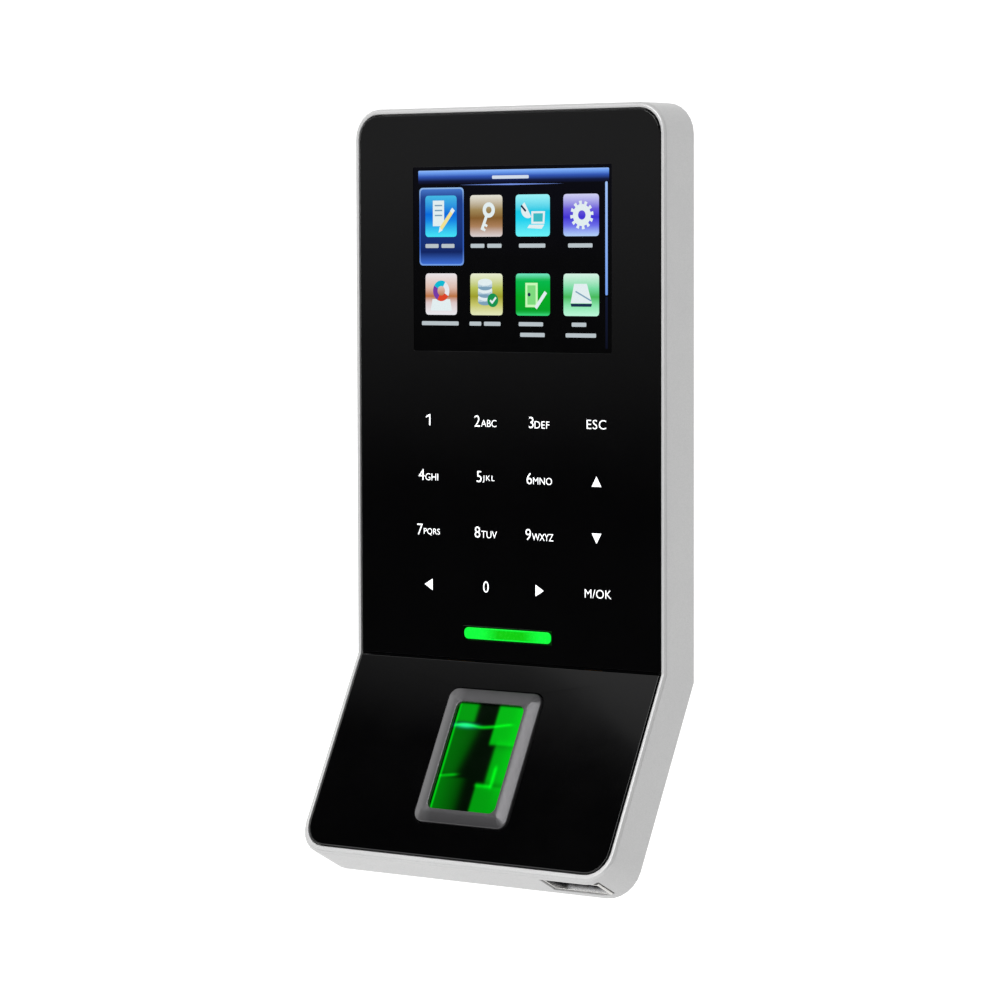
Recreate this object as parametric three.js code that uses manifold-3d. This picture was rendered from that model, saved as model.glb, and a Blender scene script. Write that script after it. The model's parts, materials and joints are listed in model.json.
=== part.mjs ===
// Wall terminal with a fingerprint sensor, a display and a touch keypad.
// Millimetres, +Z up, the front faces -Y, and the wall is the plane y = 0.
// The terminal is a thin slab, bent forward at a fold line below the keypad.
// Its pieces are drawn in the terminal's own frame: y = 0 on the upper front face, z = 0 on the fold
// line, +y towards the wall. Pieces of the lower part are drawn in a group turned about the fold line.
import * as THREE from 'three';
import { mergeVertices } from 'three/addons/utils/BufferGeometryUtils.js';
import Module from 'manifold-3d';

const wasm = await Module();
wasm.setup();

// ---------- driving dimensions ----------
const gap = 0.3;
const margin = 1;
const cornerSteps = 6;
const roundSteps = 16;

// Bent body
const bodyWidth = 78.5;
const upperHeight = 112.5;
const lowerLength = 43.9;
const foldAngle = THREE.MathUtils.degToRad(27.08);
const bodyDepth = 10.3;
const cornerRadius = 6.2;
const edgeChamfer = 0.45;
const rimWidth = 1.05;
const lowerRimWidth = 1.4;
const bodyWall = 2.2;

// Front panels
const panelThickness = 1.5;
const panelChamfer = 0.2;
const seamWidth = 0.3;

// Status light
const lightWidth = 21.9;
const lightHeight = 2.3;
const lightCentre = 5.6;
const lightFlange = 0.8;
const lightFlangeWidth = 1;
const lampHeight = 0.6;
const lampWidth = 1.6;

// Fingerprint sensor, measured down the lower face from the fold line
const sensorTop = 6.2;
const sensorRadius = 2.2;
const sensorSideBand = 3.2;
const sensorUpperBand = 3.1;
const sensorLowerBand = 2.8;
const bezelRise = 1.2;
const bezelSlope = 0.8;
const bezelSlopeWidth = 1.9;
const windowWidth = 17;
const windowLength = 23.1;
const windowRadius = 1.5;
const windowDrop = 1.1;
const glassLedge = 0.7;
const glassThickness = 2.8;
const sensorHousingDepth = 3.4;
const sensorHousingWall = 1.2;
const sensorBoardThickness = 1;
const sensorBoardEar = 8.5;
const lensRadius = 2.4;
const sensorLampSize = 2;
const sensorLampHeight = 0.8;

// Display
const displayCentreX = 1.26;
const displayCentreZ = 81.8;
const displayWidth = 60.3;
const displayHeight = 42.7;
const displayCell = 1.4;
const displayBacklight = 1.8;
const displayBorder = 1.2;

// Touch keypad and card antenna
const keypadLow = 9;
const keypadHigh = 57;
const keypadHalfWidth = 28.6;
const keypadBoard = 1;
const antennaBand = 2.2;

// Main board
const boardHalfWidth = 28.8;
const boardLow = 4.4;
const boardHigh = 72;
const boardInset = 2.1;
const boardThickness = 1.6;
const postX = 25.5;
const postLowZ = 9.2;
const postHighZ = 67.5;
const postRadius = 2.5;

// Parts on the main board: name, centre x, centre z, width, height and thickness
const frontParts = [
  ['processor_shield', -6, 36, 24, 24, 2.2],
  ['memory_chip', 16, 40, 9, 14, 1],
  ['wireless_module', 17, 58, 14, 12, 2],
  ['display_connector', 1, 67, 19, 3.4, 1.2],
  ['sensor_connector', -16, 9.4, 8.6, 3.2, 1.2],
  ['usb_connector', 18.6, 9.4, 6.6, 3.2, 1.2],
];
const rearParts = [
  ['lock_relay', -8, 40, 15, 10.4, 5.4],
  ['network_transformer', -12, 60, 12, 9.6, 4.2],
];
const capacitorPlaces = [['capacitor_a', 5], ['capacitor_b', 12.5]];
const capacitorZ = 39;
const capacitorRadius = 3.2;
const capacitorHeight = 5.2;
const batteryX = 13;
const batteryZ = 60;
const batteryRadius = 6.2;
const batteryHeight = 2;
const batteryRing = 1;

// Wire headers, which face the cable window: name, centre x and number of pins
const headers = [['network_header', -14, 4], ['data_header', -1, 5], ['power_header', 10.5, 4]];
const headerHeight = 5;
const headerDepth = 5.6;
const headerWall = 0.8;
const headerFloor = 1;
const pinPitch = 2;
const pinSize = 0.6;
const pinStand = 3.4;

// Speaker and wireless antenna, on the inside of the plinth
const speakerZ = 84;
const speakerRadius = 9.5;
const speakerDepth = 4.4;
const magnetRadius = 4.75;
const magnetDepth = 1.4;
const wirelessHalfWidth = 10;
const wirelessHeight = 5.5;
const wirelessZ = 99.5;
const wirelessSheet = 0.8;

// Rear cover with the raised plinth that meets the wall plate
const coverWall = 1.6;
const coverLip = 1;
const plinthHalfWidth = 31.5;
const plinthLow = 2;
const plinthHigh = 105;
const plinthRise = 7.6;
const plinthRadius = 4;
const cableLow = 13;
const cableHigh = 31;
const cableHalfWidth = 23;
const grilleSlots = 5;
const grillePitch = 2.6;
const grilleSlotWidth = 1.2;
const grilleLength = 11;

// Wall plate
const plateThickness = 1.2;
const plateHalfWidth = 29.5;
const plateTopInset = 1.5;
const plateRadius = 3;
const plateCableMargin = 2;
const hookWidth = 8;
const hookLip = 5;
const hookX = 22;
const hookHeights = [44, 90];
const liftTravel = 7;
const wallHoleRadius = 2.3;
const wallHoleX = 12;
const wallHoleHeights = [38, 97];
const flangeHalfWidth = 10;
const flangeReach = 8;

// Fasteners
const smallScrew = { shank: 0.9, head: 1.9, headHeight: 1.2, slot: 0.6, slotHalf: 1.2, slotDepth: 0.6 };
const securityScrew = { shank: 1.5, head: 2.7, headHeight: 1.5, slot: 0.9, slotHalf: 1.6, slotDepth: 0.8 };
const boardScrewLength = 6.1;
const smallHole = smallScrew.shank + gap;
const securityHole = securityScrew.shank + gap;
const bossRadius = 2.6;
const bossInset = 2.2;
const bossHoleDepth = 4.6;
const upperBossHeights = [24, 100];
const lowerBossAt = 12;
const securityStandoff = 3.9;
const securityLength = 8;
const securityBoss = 3.4;

// USB socket in the bottom wall
const usbCentreX = 28.7;
const usbWidth = 13.8;
const usbHeight = 5.4;
const usbLength = 12.6;
const usbFront = 2.4;
const usbSheet = 0.35;
const usbTongueThickness = 1.7;
const usbTongueSide = 0.9;
const usbBase = 2.6;
const usbBoardLength = 12;
const usbBoardThickness = 1.2;

// Switches
const tamperZ = 52;
const tamperBody = 6;
const tamperHeight = 3.6;
const plungerRadius = 1.5;
const plungerTravel = 1.2;
const resetX = 19.6;
const resetZ = 22;
const resetBody = 4.2;
const resetHeight = 2.4;
const resetRadius = 0.9;
const resetTravel = 0.4;
const resetStand = 0.9;

// Ribbon cables: thickness, and the two edges of each along X
const ribbonThickness = 0.3;
const displayRibbon = [-7, 9];
const sensorRibbon = [-19.5, -12.8];
const usbRibbon = [16.4, 20.8];
const ribbonBulge = 1.2;
const ribbonPlug = 1.6;

// ---------- levels that follow from them ----------
const panelSeat = panelThickness + gap;
const coverFront = bodyDepth - coverWall;
const plinthBack = bodyDepth + plinthRise;
const plinthFloor = plinthBack - coverWall;
const plateFront = plinthBack + gap;
const plateBack = plateFront + plateThickness;
const flangeHigh = plinthLow - gap;
const flangeLow = flangeHigh - plateThickness;
const plateHigh = plinthHigh - plateTopInset;
const plateCentre = (flangeLow + plateHigh) / 2;
const boardFront = bodyDepth - boardInset;
const boardBack = boardFront + boardThickness;
const partsFront = boardFront - gap;
const partsBack = boardBack + gap;
const panelHalfWidth = bodyWidth / 2 - rimWidth - gap;
const cavityHalfWidth = bodyWidth / 2 - bodyWall;
const bossX = cavityHalfWidth - bossInset;
const securityDepth = bodyDepth + securityStandoff;
const sensorWidth = windowWidth + 2 * sensorSideBand;
const sensorLength = windowLength + sensorUpperBand + sensorLowerBand;
const windowCentre = sensorTop + sensorUpperBand + windowLength / 2;
const sensorCentre = sensorTop + sensorLength / 2;
const glassFront = windowDrop - bezelRise;
const glassBack = glassFront + glassThickness;
const sensorHousingFront = glassBack + gap;
const sensorHousingBack = sensorHousingFront + sensorHousingDepth;
const sensorBoardFront = sensorHousingBack + gap;
const usbMouth = lowerLength - gap;
const usbRear = usbMouth - usbLength;

// ---------- solids ----------
function solid(geometry) {
  const bare = geometry.clone();
  bare.deleteAttribute('normal');
  bare.deleteAttribute('uv');
  const merged = mergeVertices(bare);
  const index = merged.index.array;
  const triangles = [];
  for (let i = 0; i < index.length; i += 3) {
    const [a, b, c] = [index[i], index[i + 1], index[i + 2]];
    if (a !== b && b !== c && c !== a) triangles.push(a, b, c);
  }
  const vertProperties = new Float32Array(merged.attributes.position.array);
  const triVerts = new Uint32Array(triangles);
  return new wasm.Manifold(new wasm.Mesh({ numProp: 3, vertProperties, triVerts }));
}

function geometryOf(manifold) {
  const mesh = manifold.getMesh();
  const geometry = new THREE.BufferGeometry();
  geometry.setAttribute('position', new THREE.BufferAttribute(new Float32Array(mesh.vertProperties), 3));
  geometry.setIndex(new THREE.BufferAttribute(new Uint32Array(mesh.triVerts), 1));
  geometry.computeVertexNormals();
  return geometry;
}

// A box between two values on each axis.
function block([left, right], [front, back], [low, high]) {
  const geometry = new THREE.BoxGeometry(right - left, back - front, high - low);
  geometry.translate((left + right) / 2, (front + back) / 2, (low + high) / 2);
  return solid(geometry);
}

// An outline in the XZ plane, with one radius for its low corners and one for its high corners.
function outline(left, right, low, high, lowRadius, highRadius = lowRadius) {
  const corners = [
    [right - lowRadius, low + lowRadius, lowRadius],
    [right - highRadius, high - highRadius, highRadius],
    [left + highRadius, high - highRadius, highRadius],
    [left + lowRadius, low + lowRadius, lowRadius],
  ];
  const quarter = Math.PI / 2;
  return new THREE.Shape(corners.flatMap(([x, z, radius], i) => {
    if (radius === 0) return [new THREE.Vector2(x, z)];
    const arc = new THREE.EllipseCurve(x, z, radius, radius, (i - 1) * quarter, i * quarter);
    return arc.getPoints(cornerSteps);
  }));
}

// A plate with that outline, from its front to its back along Y.
function slab(shape, front, back, chamfer = 0, chamferWidth = chamfer) {
  const geometry = new THREE.ExtrudeGeometry(shape, {
    depth: back - front - 2 * chamfer,
    bevelEnabled: chamfer > 0,
    bevelThickness: chamfer,
    bevelSize: chamferWidth,
    bevelOffset: -chamferWidth,
    bevelSegments: 1,
  });
  geometry.rotateX(Math.PI / 2);
  geometry.translate(0, back - chamfer, 0);
  return solid(geometry);
}

// A round bar along Y.
function rod(x, z, radius, front, back, steps = roundSteps) {
  const geometry = new THREE.CylinderGeometry(radius, radius, back - front, steps);
  geometry.translate(x, (front + back) / 2, z);
  return solid(geometry);
}

// A round bar along Z.
function upright(x, y, radius, low, high) {
  const geometry = new THREE.CylinderGeometry(radius, radius, high - low, roundSteps);
  geometry.rotateX(Math.PI / 2);
  geometry.translate(x, y, (low + high) / 2);
  return solid(geometry);
}

function joined(pieces) {
  return pieces.reduce((sum, piece) => sum.add(piece));
}

// A ring of constant band around the inside of an outline, along Y.
function ring([left, right], [low, high], band, radius, front, back) {
  const outer = slab(outline(left, right, low, high, radius), front, back);
  const depth = [front - margin, back + margin];
  const inner = block([left + band, right - band], depth, [low + band, high - band]);
  return outer.subtract(inner);
}

// A flat ribbon along a path of [y, z] points, of the given width along X.
function ribbon(path, left, right) {
  const points = path.map(([y, z]) => new THREE.Vector2(y, z));
  const curve = new THREE.SplineCurve(points);
  const stations = curve.getPoints(cornerSteps * 2);
  const side = (sign) => stations.map((point, i) => {
    const before = stations[Math.max(i - 1, 0)];
    const after = stations[Math.min(i + 1, stations.length - 1)];
    const along = after.clone().sub(before).normalize();
    const across = new THREE.Vector2(-along.y, along.x).multiplyScalar(sign * ribbonThickness / 2);
    return point.clone().add(across);
  });
  const shape = new THREE.Shape([...side(1), ...side(-1).reverse()]);
  const geometry = new THREE.ExtrudeGeometry(shape, { depth: right - left, bevelEnabled: false });
  geometry.rotateY(Math.PI / 2);
  geometry.rotateX(Math.PI / 2);
  geometry.translate(left, 0, 0);
  return solid(geometry);
}

// ---------- the bend ----------
// A plate is drawn flat, with the lower part hanging straight down from the fold line. Its points below
// the line turn with the lower part, and those on the line move to the mitre between the two parts.
const mitre = Math.tan(foldAngle / 2);
const onFold = 1e-4;
const farAway = 400;

function lowerPoint(depth, along) {
  const y = depth * Math.cos(foldAngle) - along * Math.sin(foldAngle);
  const z = -depth * Math.sin(foldAngle) - along * Math.cos(foldAngle);
  return [y, z];
}

function bentPoint(y, z) {
  if (Math.abs(z) < onFold) return [y, -y * mitre];
  return z > 0 ? [y, z] : lowerPoint(y, -z);
}

// One half of a plate, bent, without the section face that the other half meets.
function bentHalf(half) {
  const mesh = half.getMesh();
  const flat = mesh.vertProperties;
  const triangles = [];
  for (let i = 0; i < mesh.triVerts.length; i += 3) {
    const corners = mesh.triVerts.slice(i, i + 3);
    if (corners.some((corner) => Math.abs(flat[3 * corner + 2]) > onFold)) triangles.push(...corners);
  }
  return triangles.flatMap((corner) => {
    const [x, y, z] = flat.slice(3 * corner, 3 * corner + 3);
    return [x, ...bentPoint(y, z)];
  });
}

function bent(flat) {
  const wide = [-farAway, farAway];
  const above = flat.intersect(block(wide, wide, [0, farAway]));
  const below = flat.intersect(block(wide, wide, [-farAway, 0]));
  const geometry = new THREE.BufferGeometry();
  const positions = new Float32Array([...bentHalf(above), ...bentHalf(below)]);
  geometry.setAttribute('position', new THREE.BufferAttribute(positions, 3));
  return solid(geometry);
}

// A solid drawn flat below the fold line, turned with the lower part.
function lowered(manifold) {
  const mesh = manifold.getMesh();
  const vertProperties = new Float32Array(mesh.vertProperties);
  for (let i = 0; i < vertProperties.length; i += 3) {
    const [y, z] = lowerPoint(vertProperties[i + 1], -vertProperties[i + 2]);
    vertProperties[i + 1] = y;
    vertProperties[i + 2] = z;
  }
  return new wasm.Manifold(new wasm.Mesh({ numProp: 3, vertProperties, triVerts: mesh.triVerts }));
}

// ---------- materials ----------
function finish(color, roughness, metalness = 0, extra = {}) {
  return new THREE.MeshStandardMaterial({ color, roughness, metalness, ...extra });
}
const silver = finish(0xc6c7c9, 0.38, 0.55);
const blackGlass = finish(0x060607, 0.08);
const blackPlastic = finish(0x161718, 0.6);
const greyPlastic = finish(0x4a4a4c, 0.45);
const greenLight = finish(0x18e038, 0.3, 0, { emissive: 0x10c028 });
const greenGlass = finish(0x14b42a, 0.1, 0, { transparent: true, opacity: 0.8 });
const boardGreen = finish(0x1d5b34, 0.55);
const chipBlack = finish(0x202124, 0.5);
const tin = finish(0xb9bbbd, 0.3, 0.9);
const steel = finish(0x9a9da1, 0.35, 0.9);
const ivory = finish(0xe4e0d2, 0.55);
const amber = finish(0xb5732a, 0.5);
const clearGlass = finish(0x9fb0b8, 0.08, 0, { transparent: true, opacity: 0.6 });

// ---------- groups ----------
const terminalFrame = new THREE.Group();
terminalFrame.position.set(0, -plateBack, -plateCentre);
const lowerFrame = new THREE.Group();
lowerFrame.rotation.x = -foldAngle;
terminalFrame.add(lowerFrame);

function add(group, name, manifold, material) {
  const mesh = new THREE.Mesh(geometryOf(manifold), material);
  mesh.name = name;
  group.add(mesh);
}

// ---------- housing ----------
const bossPlaces = [
  ...upperBossHeights.flatMap((z) => [[-bossX, z], [bossX, z]]),
  [-bossX, -lowerBossAt],
  [bossX, -lowerBossAt],
];

function insetOutline(inset, lowInset = inset) {
  const half = bodyWidth / 2 - inset;
  return outline(-half, half, -(lowerLength - lowInset), upperHeight - inset, cornerRadius - inset);
}

// A round bar through each cover screw's place.
function atBosses(radius, front, back) {
  return joined(bossPlaces.map(([x, z]) => {
    const bar = rod(x, z, radius, front, back);
    return z > 0 ? bar : lowered(bar);
  }));
}

function housing() {
  const seat = coverFront - gap;
  const halfOpening = usbWidth / 2 + gap;
  const opening = block(
    [usbCentreX - halfOpening, usbCentreX + halfOpening],
    [usbFront - gap, usbFront + usbHeight + gap],
    [-lowerLength - margin, -lowerLength + cornerRadius],
  );
  return bent(slab(insetOutline(0), 0, bodyDepth, edgeChamfer))
    .subtract(bent(slab(insetOutline(rimWidth, lowerRimWidth), -margin, panelSeat)))
    .subtract(bent(slab(insetOutline(bodyWall), -margin, bodyDepth + margin)))
    .subtract(bent(slab(insetOutline(coverLip), seat, bodyDepth + margin)))
    .subtract(lowered(opening))
    .add(atBosses(bossRadius, panelSeat + gap, seat))
    .subtract(atBosses(smallHole, seat - bossHoleDepth, seat + margin));
}
add(terminalFrame, 'housing', housing(), silver);

// ---------- front panels ----------
const panelRadius = cornerRadius - rimWidth - gap;
const lightSlot = [
  [-lightWidth / 2 - gap, lightWidth / 2 + gap],
  [lightCentre - lightHeight / 2 - gap, lightCentre + lightHeight / 2 + gap],
];

function upperPanel() {
  const top = upperHeight - rimWidth - gap;
  const shape = outline(-panelHalfWidth, panelHalfWidth, seamWidth / 2, top, 0, panelRadius);
  const [slotX, slotZ] = lightSlot;
  return slab(shape, 0, panelThickness, panelChamfer)
    .subtract(block(slotX, [-margin, panelThickness + margin], slotZ));
}

function lowerPanel() {
  const low = -(lowerLength - lowerRimWidth - gap);
  const shape = outline(-panelHalfWidth, panelHalfWidth, low, -seamWidth / 2, panelRadius, 0);
  const halfHole = sensorWidth / 2 + gap;
  const hole = outline(
    -halfHole,
    halfHole,
    -(sensorTop + sensorLength + gap),
    -(sensorTop - gap),
    sensorRadius + gap,
  );
  return slab(shape, 0, panelThickness, panelChamfer)
    .subtract(slab(hole, -margin, panelThickness + margin));
}
add(terminalFrame, 'upper_panel', upperPanel(), blackGlass);
add(lowerFrame, 'lower_panel', lowerPanel(), blackGlass);

// ---------- status light ----------
function lightGuide() {
  const half = lightWidth / 2;
  const [low, high] = [lightCentre - lightHeight / 2, lightCentre + lightHeight / 2];
  const lens = slab(
    outline(-half, half, low, high, lightHeight / 2 - panelChamfer),
    0,
    panelSeat + lightFlange,
  );
  const flange = block(
    [-half - lightFlangeWidth, half + lightFlangeWidth],
    [panelSeat, panelSeat + lightFlange],
    [low - lightFlangeWidth, high + lightFlangeWidth],
  );
  const body = block([-half, half], [panelSeat, partsFront - lampHeight - gap], [low, high]);
  return joined([lens, flange, body]);
}

function statusLamp(x) {
  return block(
    [x - lampWidth, x + lampWidth],
    [partsFront - lampHeight, partsFront],
    [lightCentre - lampWidth / 2, lightCentre + lampWidth / 2],
  );
}
add(terminalFrame, 'status_light_guide', lightGuide(), greenLight);
add(terminalFrame, 'status_lamp_left', statusLamp(-lightWidth / 4), ivory);
add(terminalFrame, 'status_lamp_right', statusLamp(lightWidth / 4), ivory);

// ---------- fingerprint sensor ----------
function centredOutline(width, length, centre, radius) {
  return outline(-width / 2, width / 2, -centre - length / 2, -centre + length / 2, radius);
}
const glassWidth = windowWidth + 2 * glassLedge;
const glassLength = windowLength + 2 * glassLedge;
const glassShape = centredOutline(glassWidth, glassLength, windowCentre, windowRadius);

function sensorBezel() {
  const shape = centredOutline(sensorWidth, sensorLength, sensorCentre, sensorRadius);
  const shoulder = bezelSlope - bezelRise;
  const base = slab(shape, shoulder, glassBack);
  const crown = slab(shape, -bezelRise, panelThickness, bezelSlope, bezelSlopeWidth);
  const windowShape = centredOutline(windowWidth, windowLength, windowCentre, windowRadius);
  const pocket = centredOutline(glassWidth + 2 * gap, glassLength + 2 * gap, windowCentre, windowRadius);
  return base
    .add(crown)
    .subtract(slab(windowShape, -bezelRise - margin, glassBack + margin))
    .subtract(slab(pocket, glassFront - gap, glassBack + margin));
}

function sensorHousing() {
  const shape = centredOutline(sensorWidth, sensorLength, sensorCentre, sensorRadius);
  const inner = centredOutline(
    glassWidth - 2 * sensorHousingWall,
    glassLength - 2 * sensorHousingWall,
    windowCentre,
    windowRadius,
  );
  return slab(shape, sensorHousingFront, sensorHousingBack)
    .subtract(slab(inner, sensorHousingFront - margin, sensorHousingBack + margin));
}

function sensorBoard() {
  const half = sensorWidth / 2;
  return block(
    [-half - sensorBoardEar, half],
    [sensorBoardFront, sensorBoardFront + sensorBoardThickness],
    [-(sensorTop + sensorLength), -sensorTop],
  );
}

function sensorLens() {
  const back = sensorBoardFront - gap;
  return rod(0, -windowCentre, lensRadius, sensorHousingFront + gap, back)
    .subtract(rod(0, -windowCentre, lensRadius / 2, sensorHousingFront - margin, back - margin));
}

function sensorLamp(side) {
  const along = windowCentre + side * windowLength / 3;
  const back = sensorBoardFront - gap;
  return block(
    [-sensorLampSize, sensorLampSize],
    [back - sensorLampHeight, back],
    [-along - sensorLampSize / 2, -along + sensorLampSize / 2],
  );
}
add(lowerFrame, 'sensor_bezel', sensorBezel(), greyPlastic);
add(lowerFrame, 'sensor_glass', slab(glassShape, glassFront, glassBack), greenGlass);
add(lowerFrame, 'sensor_housing', sensorHousing(), blackPlastic);
add(lowerFrame, 'sensor_board', sensorBoard(), boardGreen);
add(lowerFrame, 'sensor_lens', sensorLens(), chipBlack);
add(lowerFrame, 'sensor_lamp_upper', sensorLamp(-1), ivory);
add(lowerFrame, 'sensor_lamp_lower', sensorLamp(1), ivory);

// ---------- display ----------
const displayLeft = displayCentreX - displayWidth / 2;
const displayRight = displayCentreX + displayWidth / 2;
const displayLow = displayCentreZ - displayHeight / 2;
const displayHigh = displayCentreZ + displayHeight / 2;
const backlightFront = panelSeat + displayCell + gap;
const backlightBack = backlightFront + displayBacklight;

function displayCellPlate() {
  return block(
    [displayLeft + displayBorder, displayRight - displayBorder],
    [panelSeat, panelSeat + displayCell],
    [displayLow + displayBorder, displayHigh - displayBorder],
  );
}

function displayBacklightTray() {
  return block([displayLeft, displayRight], [backlightFront, backlightBack], [displayLow, displayHigh]);
}
add(terminalFrame, 'display_cell', displayCellPlate(), clearGlass);
add(terminalFrame, 'display_backlight', displayBacklightTray(), tin);

// ---------- touch keypad and card antenna ----------
const antennaX = keypadHalfWidth + gap + antennaBand;
const antennaZ = gap + antennaBand;

function keypadSheet() {
  return block(
    [-keypadHalfWidth, keypadHalfWidth],
    [panelSeat, panelSeat + keypadBoard],
    [keypadLow + antennaZ, keypadHigh - antennaZ],
  );
}
function cardAntenna() {
  const depth = [panelSeat, panelSeat + keypadBoard];
  return ring([-antennaX, antennaX], [keypadLow, keypadHigh], antennaBand, antennaBand, ...depth);
}
add(terminalFrame, 'touch_board', keypadSheet(), boardGreen);
add(terminalFrame, 'card_antenna', cardAntenna(), amber);

// ---------- main board ----------
const postPlaces = [postLowZ, postHighZ].flatMap((z) => [[-postX, z], [postX, z]]);

function mainBoard() {
  const sheet = block([-boardHalfWidth, boardHalfWidth], [boardFront, boardBack], [boardLow, boardHigh]);
  const holes = postPlaces.map(([x, z]) => rod(x, z, smallHole, boardFront - margin, boardBack + margin));
  return sheet.subtract(joined(holes));
}
add(terminalFrame, 'main_board', mainBoard(), boardGreen);

const boardMaterials = {
  processor_shield: tin,
  memory_chip: chipBlack,
  wireless_module: tin,
  display_connector: ivory,
  sensor_connector: ivory,
  usb_connector: ivory,
  lock_relay: amber,
  network_transformer: chipBlack,
};

function addBoardPart([name, x, z, width, height], front, back) {
  const body = block([x - width / 2, x + width / 2], [front, back], [z - height / 2, z + height / 2]);
  add(terminalFrame, name, body, boardMaterials[name]);
}
for (const part of frontParts) addBoardPart(part, partsFront - part.at(-1), partsFront);
for (const part of rearParts) addBoardPart(part, partsBack, partsBack + part.at(-1));

for (const [name, x] of capacitorPlaces) {
  const can = rod(x, capacitorZ, capacitorRadius, partsBack, partsBack + capacitorHeight);
  add(terminalFrame, name, can, steel);
}
const battery = rod(batteryX, batteryZ, batteryRadius, partsBack, partsBack + batteryHeight);
add(terminalFrame, 'clock_battery', battery, tin);

function batteryHolder() {
  const outer = batteryRadius + gap + batteryRing;
  return rod(batteryX, batteryZ, outer, partsBack, partsBack + batteryHeight + gap)
    .subtract(rod(batteryX, batteryZ, batteryRadius + gap, boardFront, plinthBack));
}
add(terminalFrame, 'battery_holder', batteryHolder(), blackPlastic);

// ---------- wire headers in the cable window ----------
const headerZ = (cableLow + cableHigh) / 2;

function wireHeader(x, pins) {
  const half = (pins * pinPitch) / 2 + headerWall;
  const [low, high] = [headerZ - headerDepth / 2, headerZ + headerDepth / 2];
  const shell = block([x - half, x + half], [partsBack, partsBack + headerHeight], [low, high]);
  const hollow = block(
    [x - half + headerWall, x + half - headerWall],
    [partsBack + headerFloor, partsBack + headerHeight + margin],
    [low + headerWall, high - headerWall],
  );
  const places = Array.from({ length: pins }, (_, i) => x + (i - (pins - 1) / 2) * pinPitch);
  const pinBars = places.map((at) => block(
    [at - pinSize / 2, at + pinSize / 2],
    [partsBack + headerFloor / 2, partsBack + headerFloor + pinStand],
    [headerZ - pinSize / 2, headerZ + pinSize / 2],
  ));
  return shell.subtract(hollow).add(joined(pinBars));
}
for (const [name, x, pins] of headers) add(terminalFrame, name, wireHeader(x, pins), ivory);

// ---------- ribbon cables ----------
const ribbonDepth = partsFront - ribbonThickness / 2 - gap;
const sensorRibbonDepth = sensorBoardFront + sensorBoardThickness / 2;
const usbBoardFront = usbFront + (usbHeight - usbBoardThickness) / 2;
const usbRibbonDepth = usbBoardFront + usbBoardThickness / 2;
const usbBoardTop = usbRear - gap - usbBoardLength;

// The top of the ribbons from the lower part, just below the plugs that they enter.
const lowPlugs = frontParts.find(([name]) => name === 'sensor_connector');
const lowPlugEdge = lowPlugs[2] - lowPlugs[4] / 2 - gap;
const displayPlug = frontParts.find(([name]) => name === 'display_connector');
const displayPlugEdge = displayPlug[2] - displayPlug[4] / 2 - gap;

function displayRibbonPath() {
  const start = displayLow - gap - ribbonThickness;
  const front = panelSeat + displayCell;
  return [
    [front, start],
    [(front + ribbonDepth) / 2, start - ribbonBulge],
    [ribbonDepth - ribbonBulge / 2, start],
    [ribbonDepth, displayPlugEdge],
  ];
}

function lowerRibbonPath(depth, along) {
  return [lowerPoint(depth, along), lowerPoint(depth - ribbonPlug / 2, 1), [ribbonDepth, lowPlugEdge]];
}
const sensorPath = lowerRibbonPath(sensorRibbonDepth, sensorTop - gap);
const usbPath = lowerRibbonPath(usbRibbonDepth, usbBoardTop - gap);
add(terminalFrame, 'display_ribbon', ribbon(displayRibbonPath(), ...displayRibbon), amber);
add(terminalFrame, 'sensor_ribbon', ribbon(sensorPath, ...sensorRibbon), amber);
add(terminalFrame, 'usb_ribbon', ribbon(usbPath, ...usbRibbon), amber);

// ---------- USB socket ----------
const usbLeft = usbCentreX - usbWidth / 2;
const usbRight = usbCentreX + usbWidth / 2;
const usbBack = usbFront + usbHeight;
const usbInside = [usbLeft + usbSheet, usbRight - usbSheet];

function usbShell() {
  const outer = block([usbLeft, usbRight], [usbFront, usbBack], [-usbMouth, -usbRear]);
  const inner = block(
    usbInside,
    [usbFront + usbSheet, usbBack - usbSheet],
    [-usbMouth - margin, -usbRear - usbSheet],
  );
  return outer.subtract(inner);
}

function usbTongue() {
  const [left, right] = [usbInside[0] + gap, usbInside[1] - gap];
  const rear = -usbRear - usbSheet - gap;
  const base = block(
    [left, right],
    [usbFront + usbSheet + gap, usbBack - usbSheet - gap],
    [rear - usbBase, rear],
  );
  const tongueFront = usbFront + usbSheet + usbTongueSide;
  const tongue = block(
    [left + usbTongueSide, right - usbTongueSide],
    [tongueFront, tongueFront + usbTongueThickness],
    [-usbMouth + usbTongueSide, rear],
  );
  return base.add(tongue);
}

function usbBoard() {
  return block(
    [usbCentreX - usbWidth, usbRight],
    [usbBoardFront, usbBoardFront + usbBoardThickness],
    [-usbRear + gap, -usbBoardTop],
  );
}
add(lowerFrame, 'usb_shell', usbShell(), tin);
add(lowerFrame, 'usb_tongue', usbTongue(), chipBlack);
add(lowerFrame, 'usb_board', usbBoard(), boardGreen);

// ---------- speaker and antenna ----------
const innerBack = plinthFloor - gap;

function speaker() {
  const front = innerBack - speakerDepth;
  const body = rod(0, speakerZ, speakerRadius, front, innerBack);
  const magnet = rod(0, speakerZ, magnetRadius, front - magnetDepth, front + margin);
  return body.add(magnet);
}

function wirelessAntenna() {
  return block(
    [-wirelessHalfWidth, wirelessHalfWidth],
    [innerBack - wirelessSheet, innerBack],
    [wirelessZ - wirelessHeight / 2, wirelessZ + wirelessHeight / 2],
  );
}
add(terminalFrame, 'speaker', speaker(), chipBlack);
add(terminalFrame, 'wireless_antenna', wirelessAntenna(), amber);

// ---------- tamper switch and reset button ----------
const tamperFloor = partsBack + tamperHeight - plungerTravel - 3 * gap;
const resetTop = partsBack + resetHeight;

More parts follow.
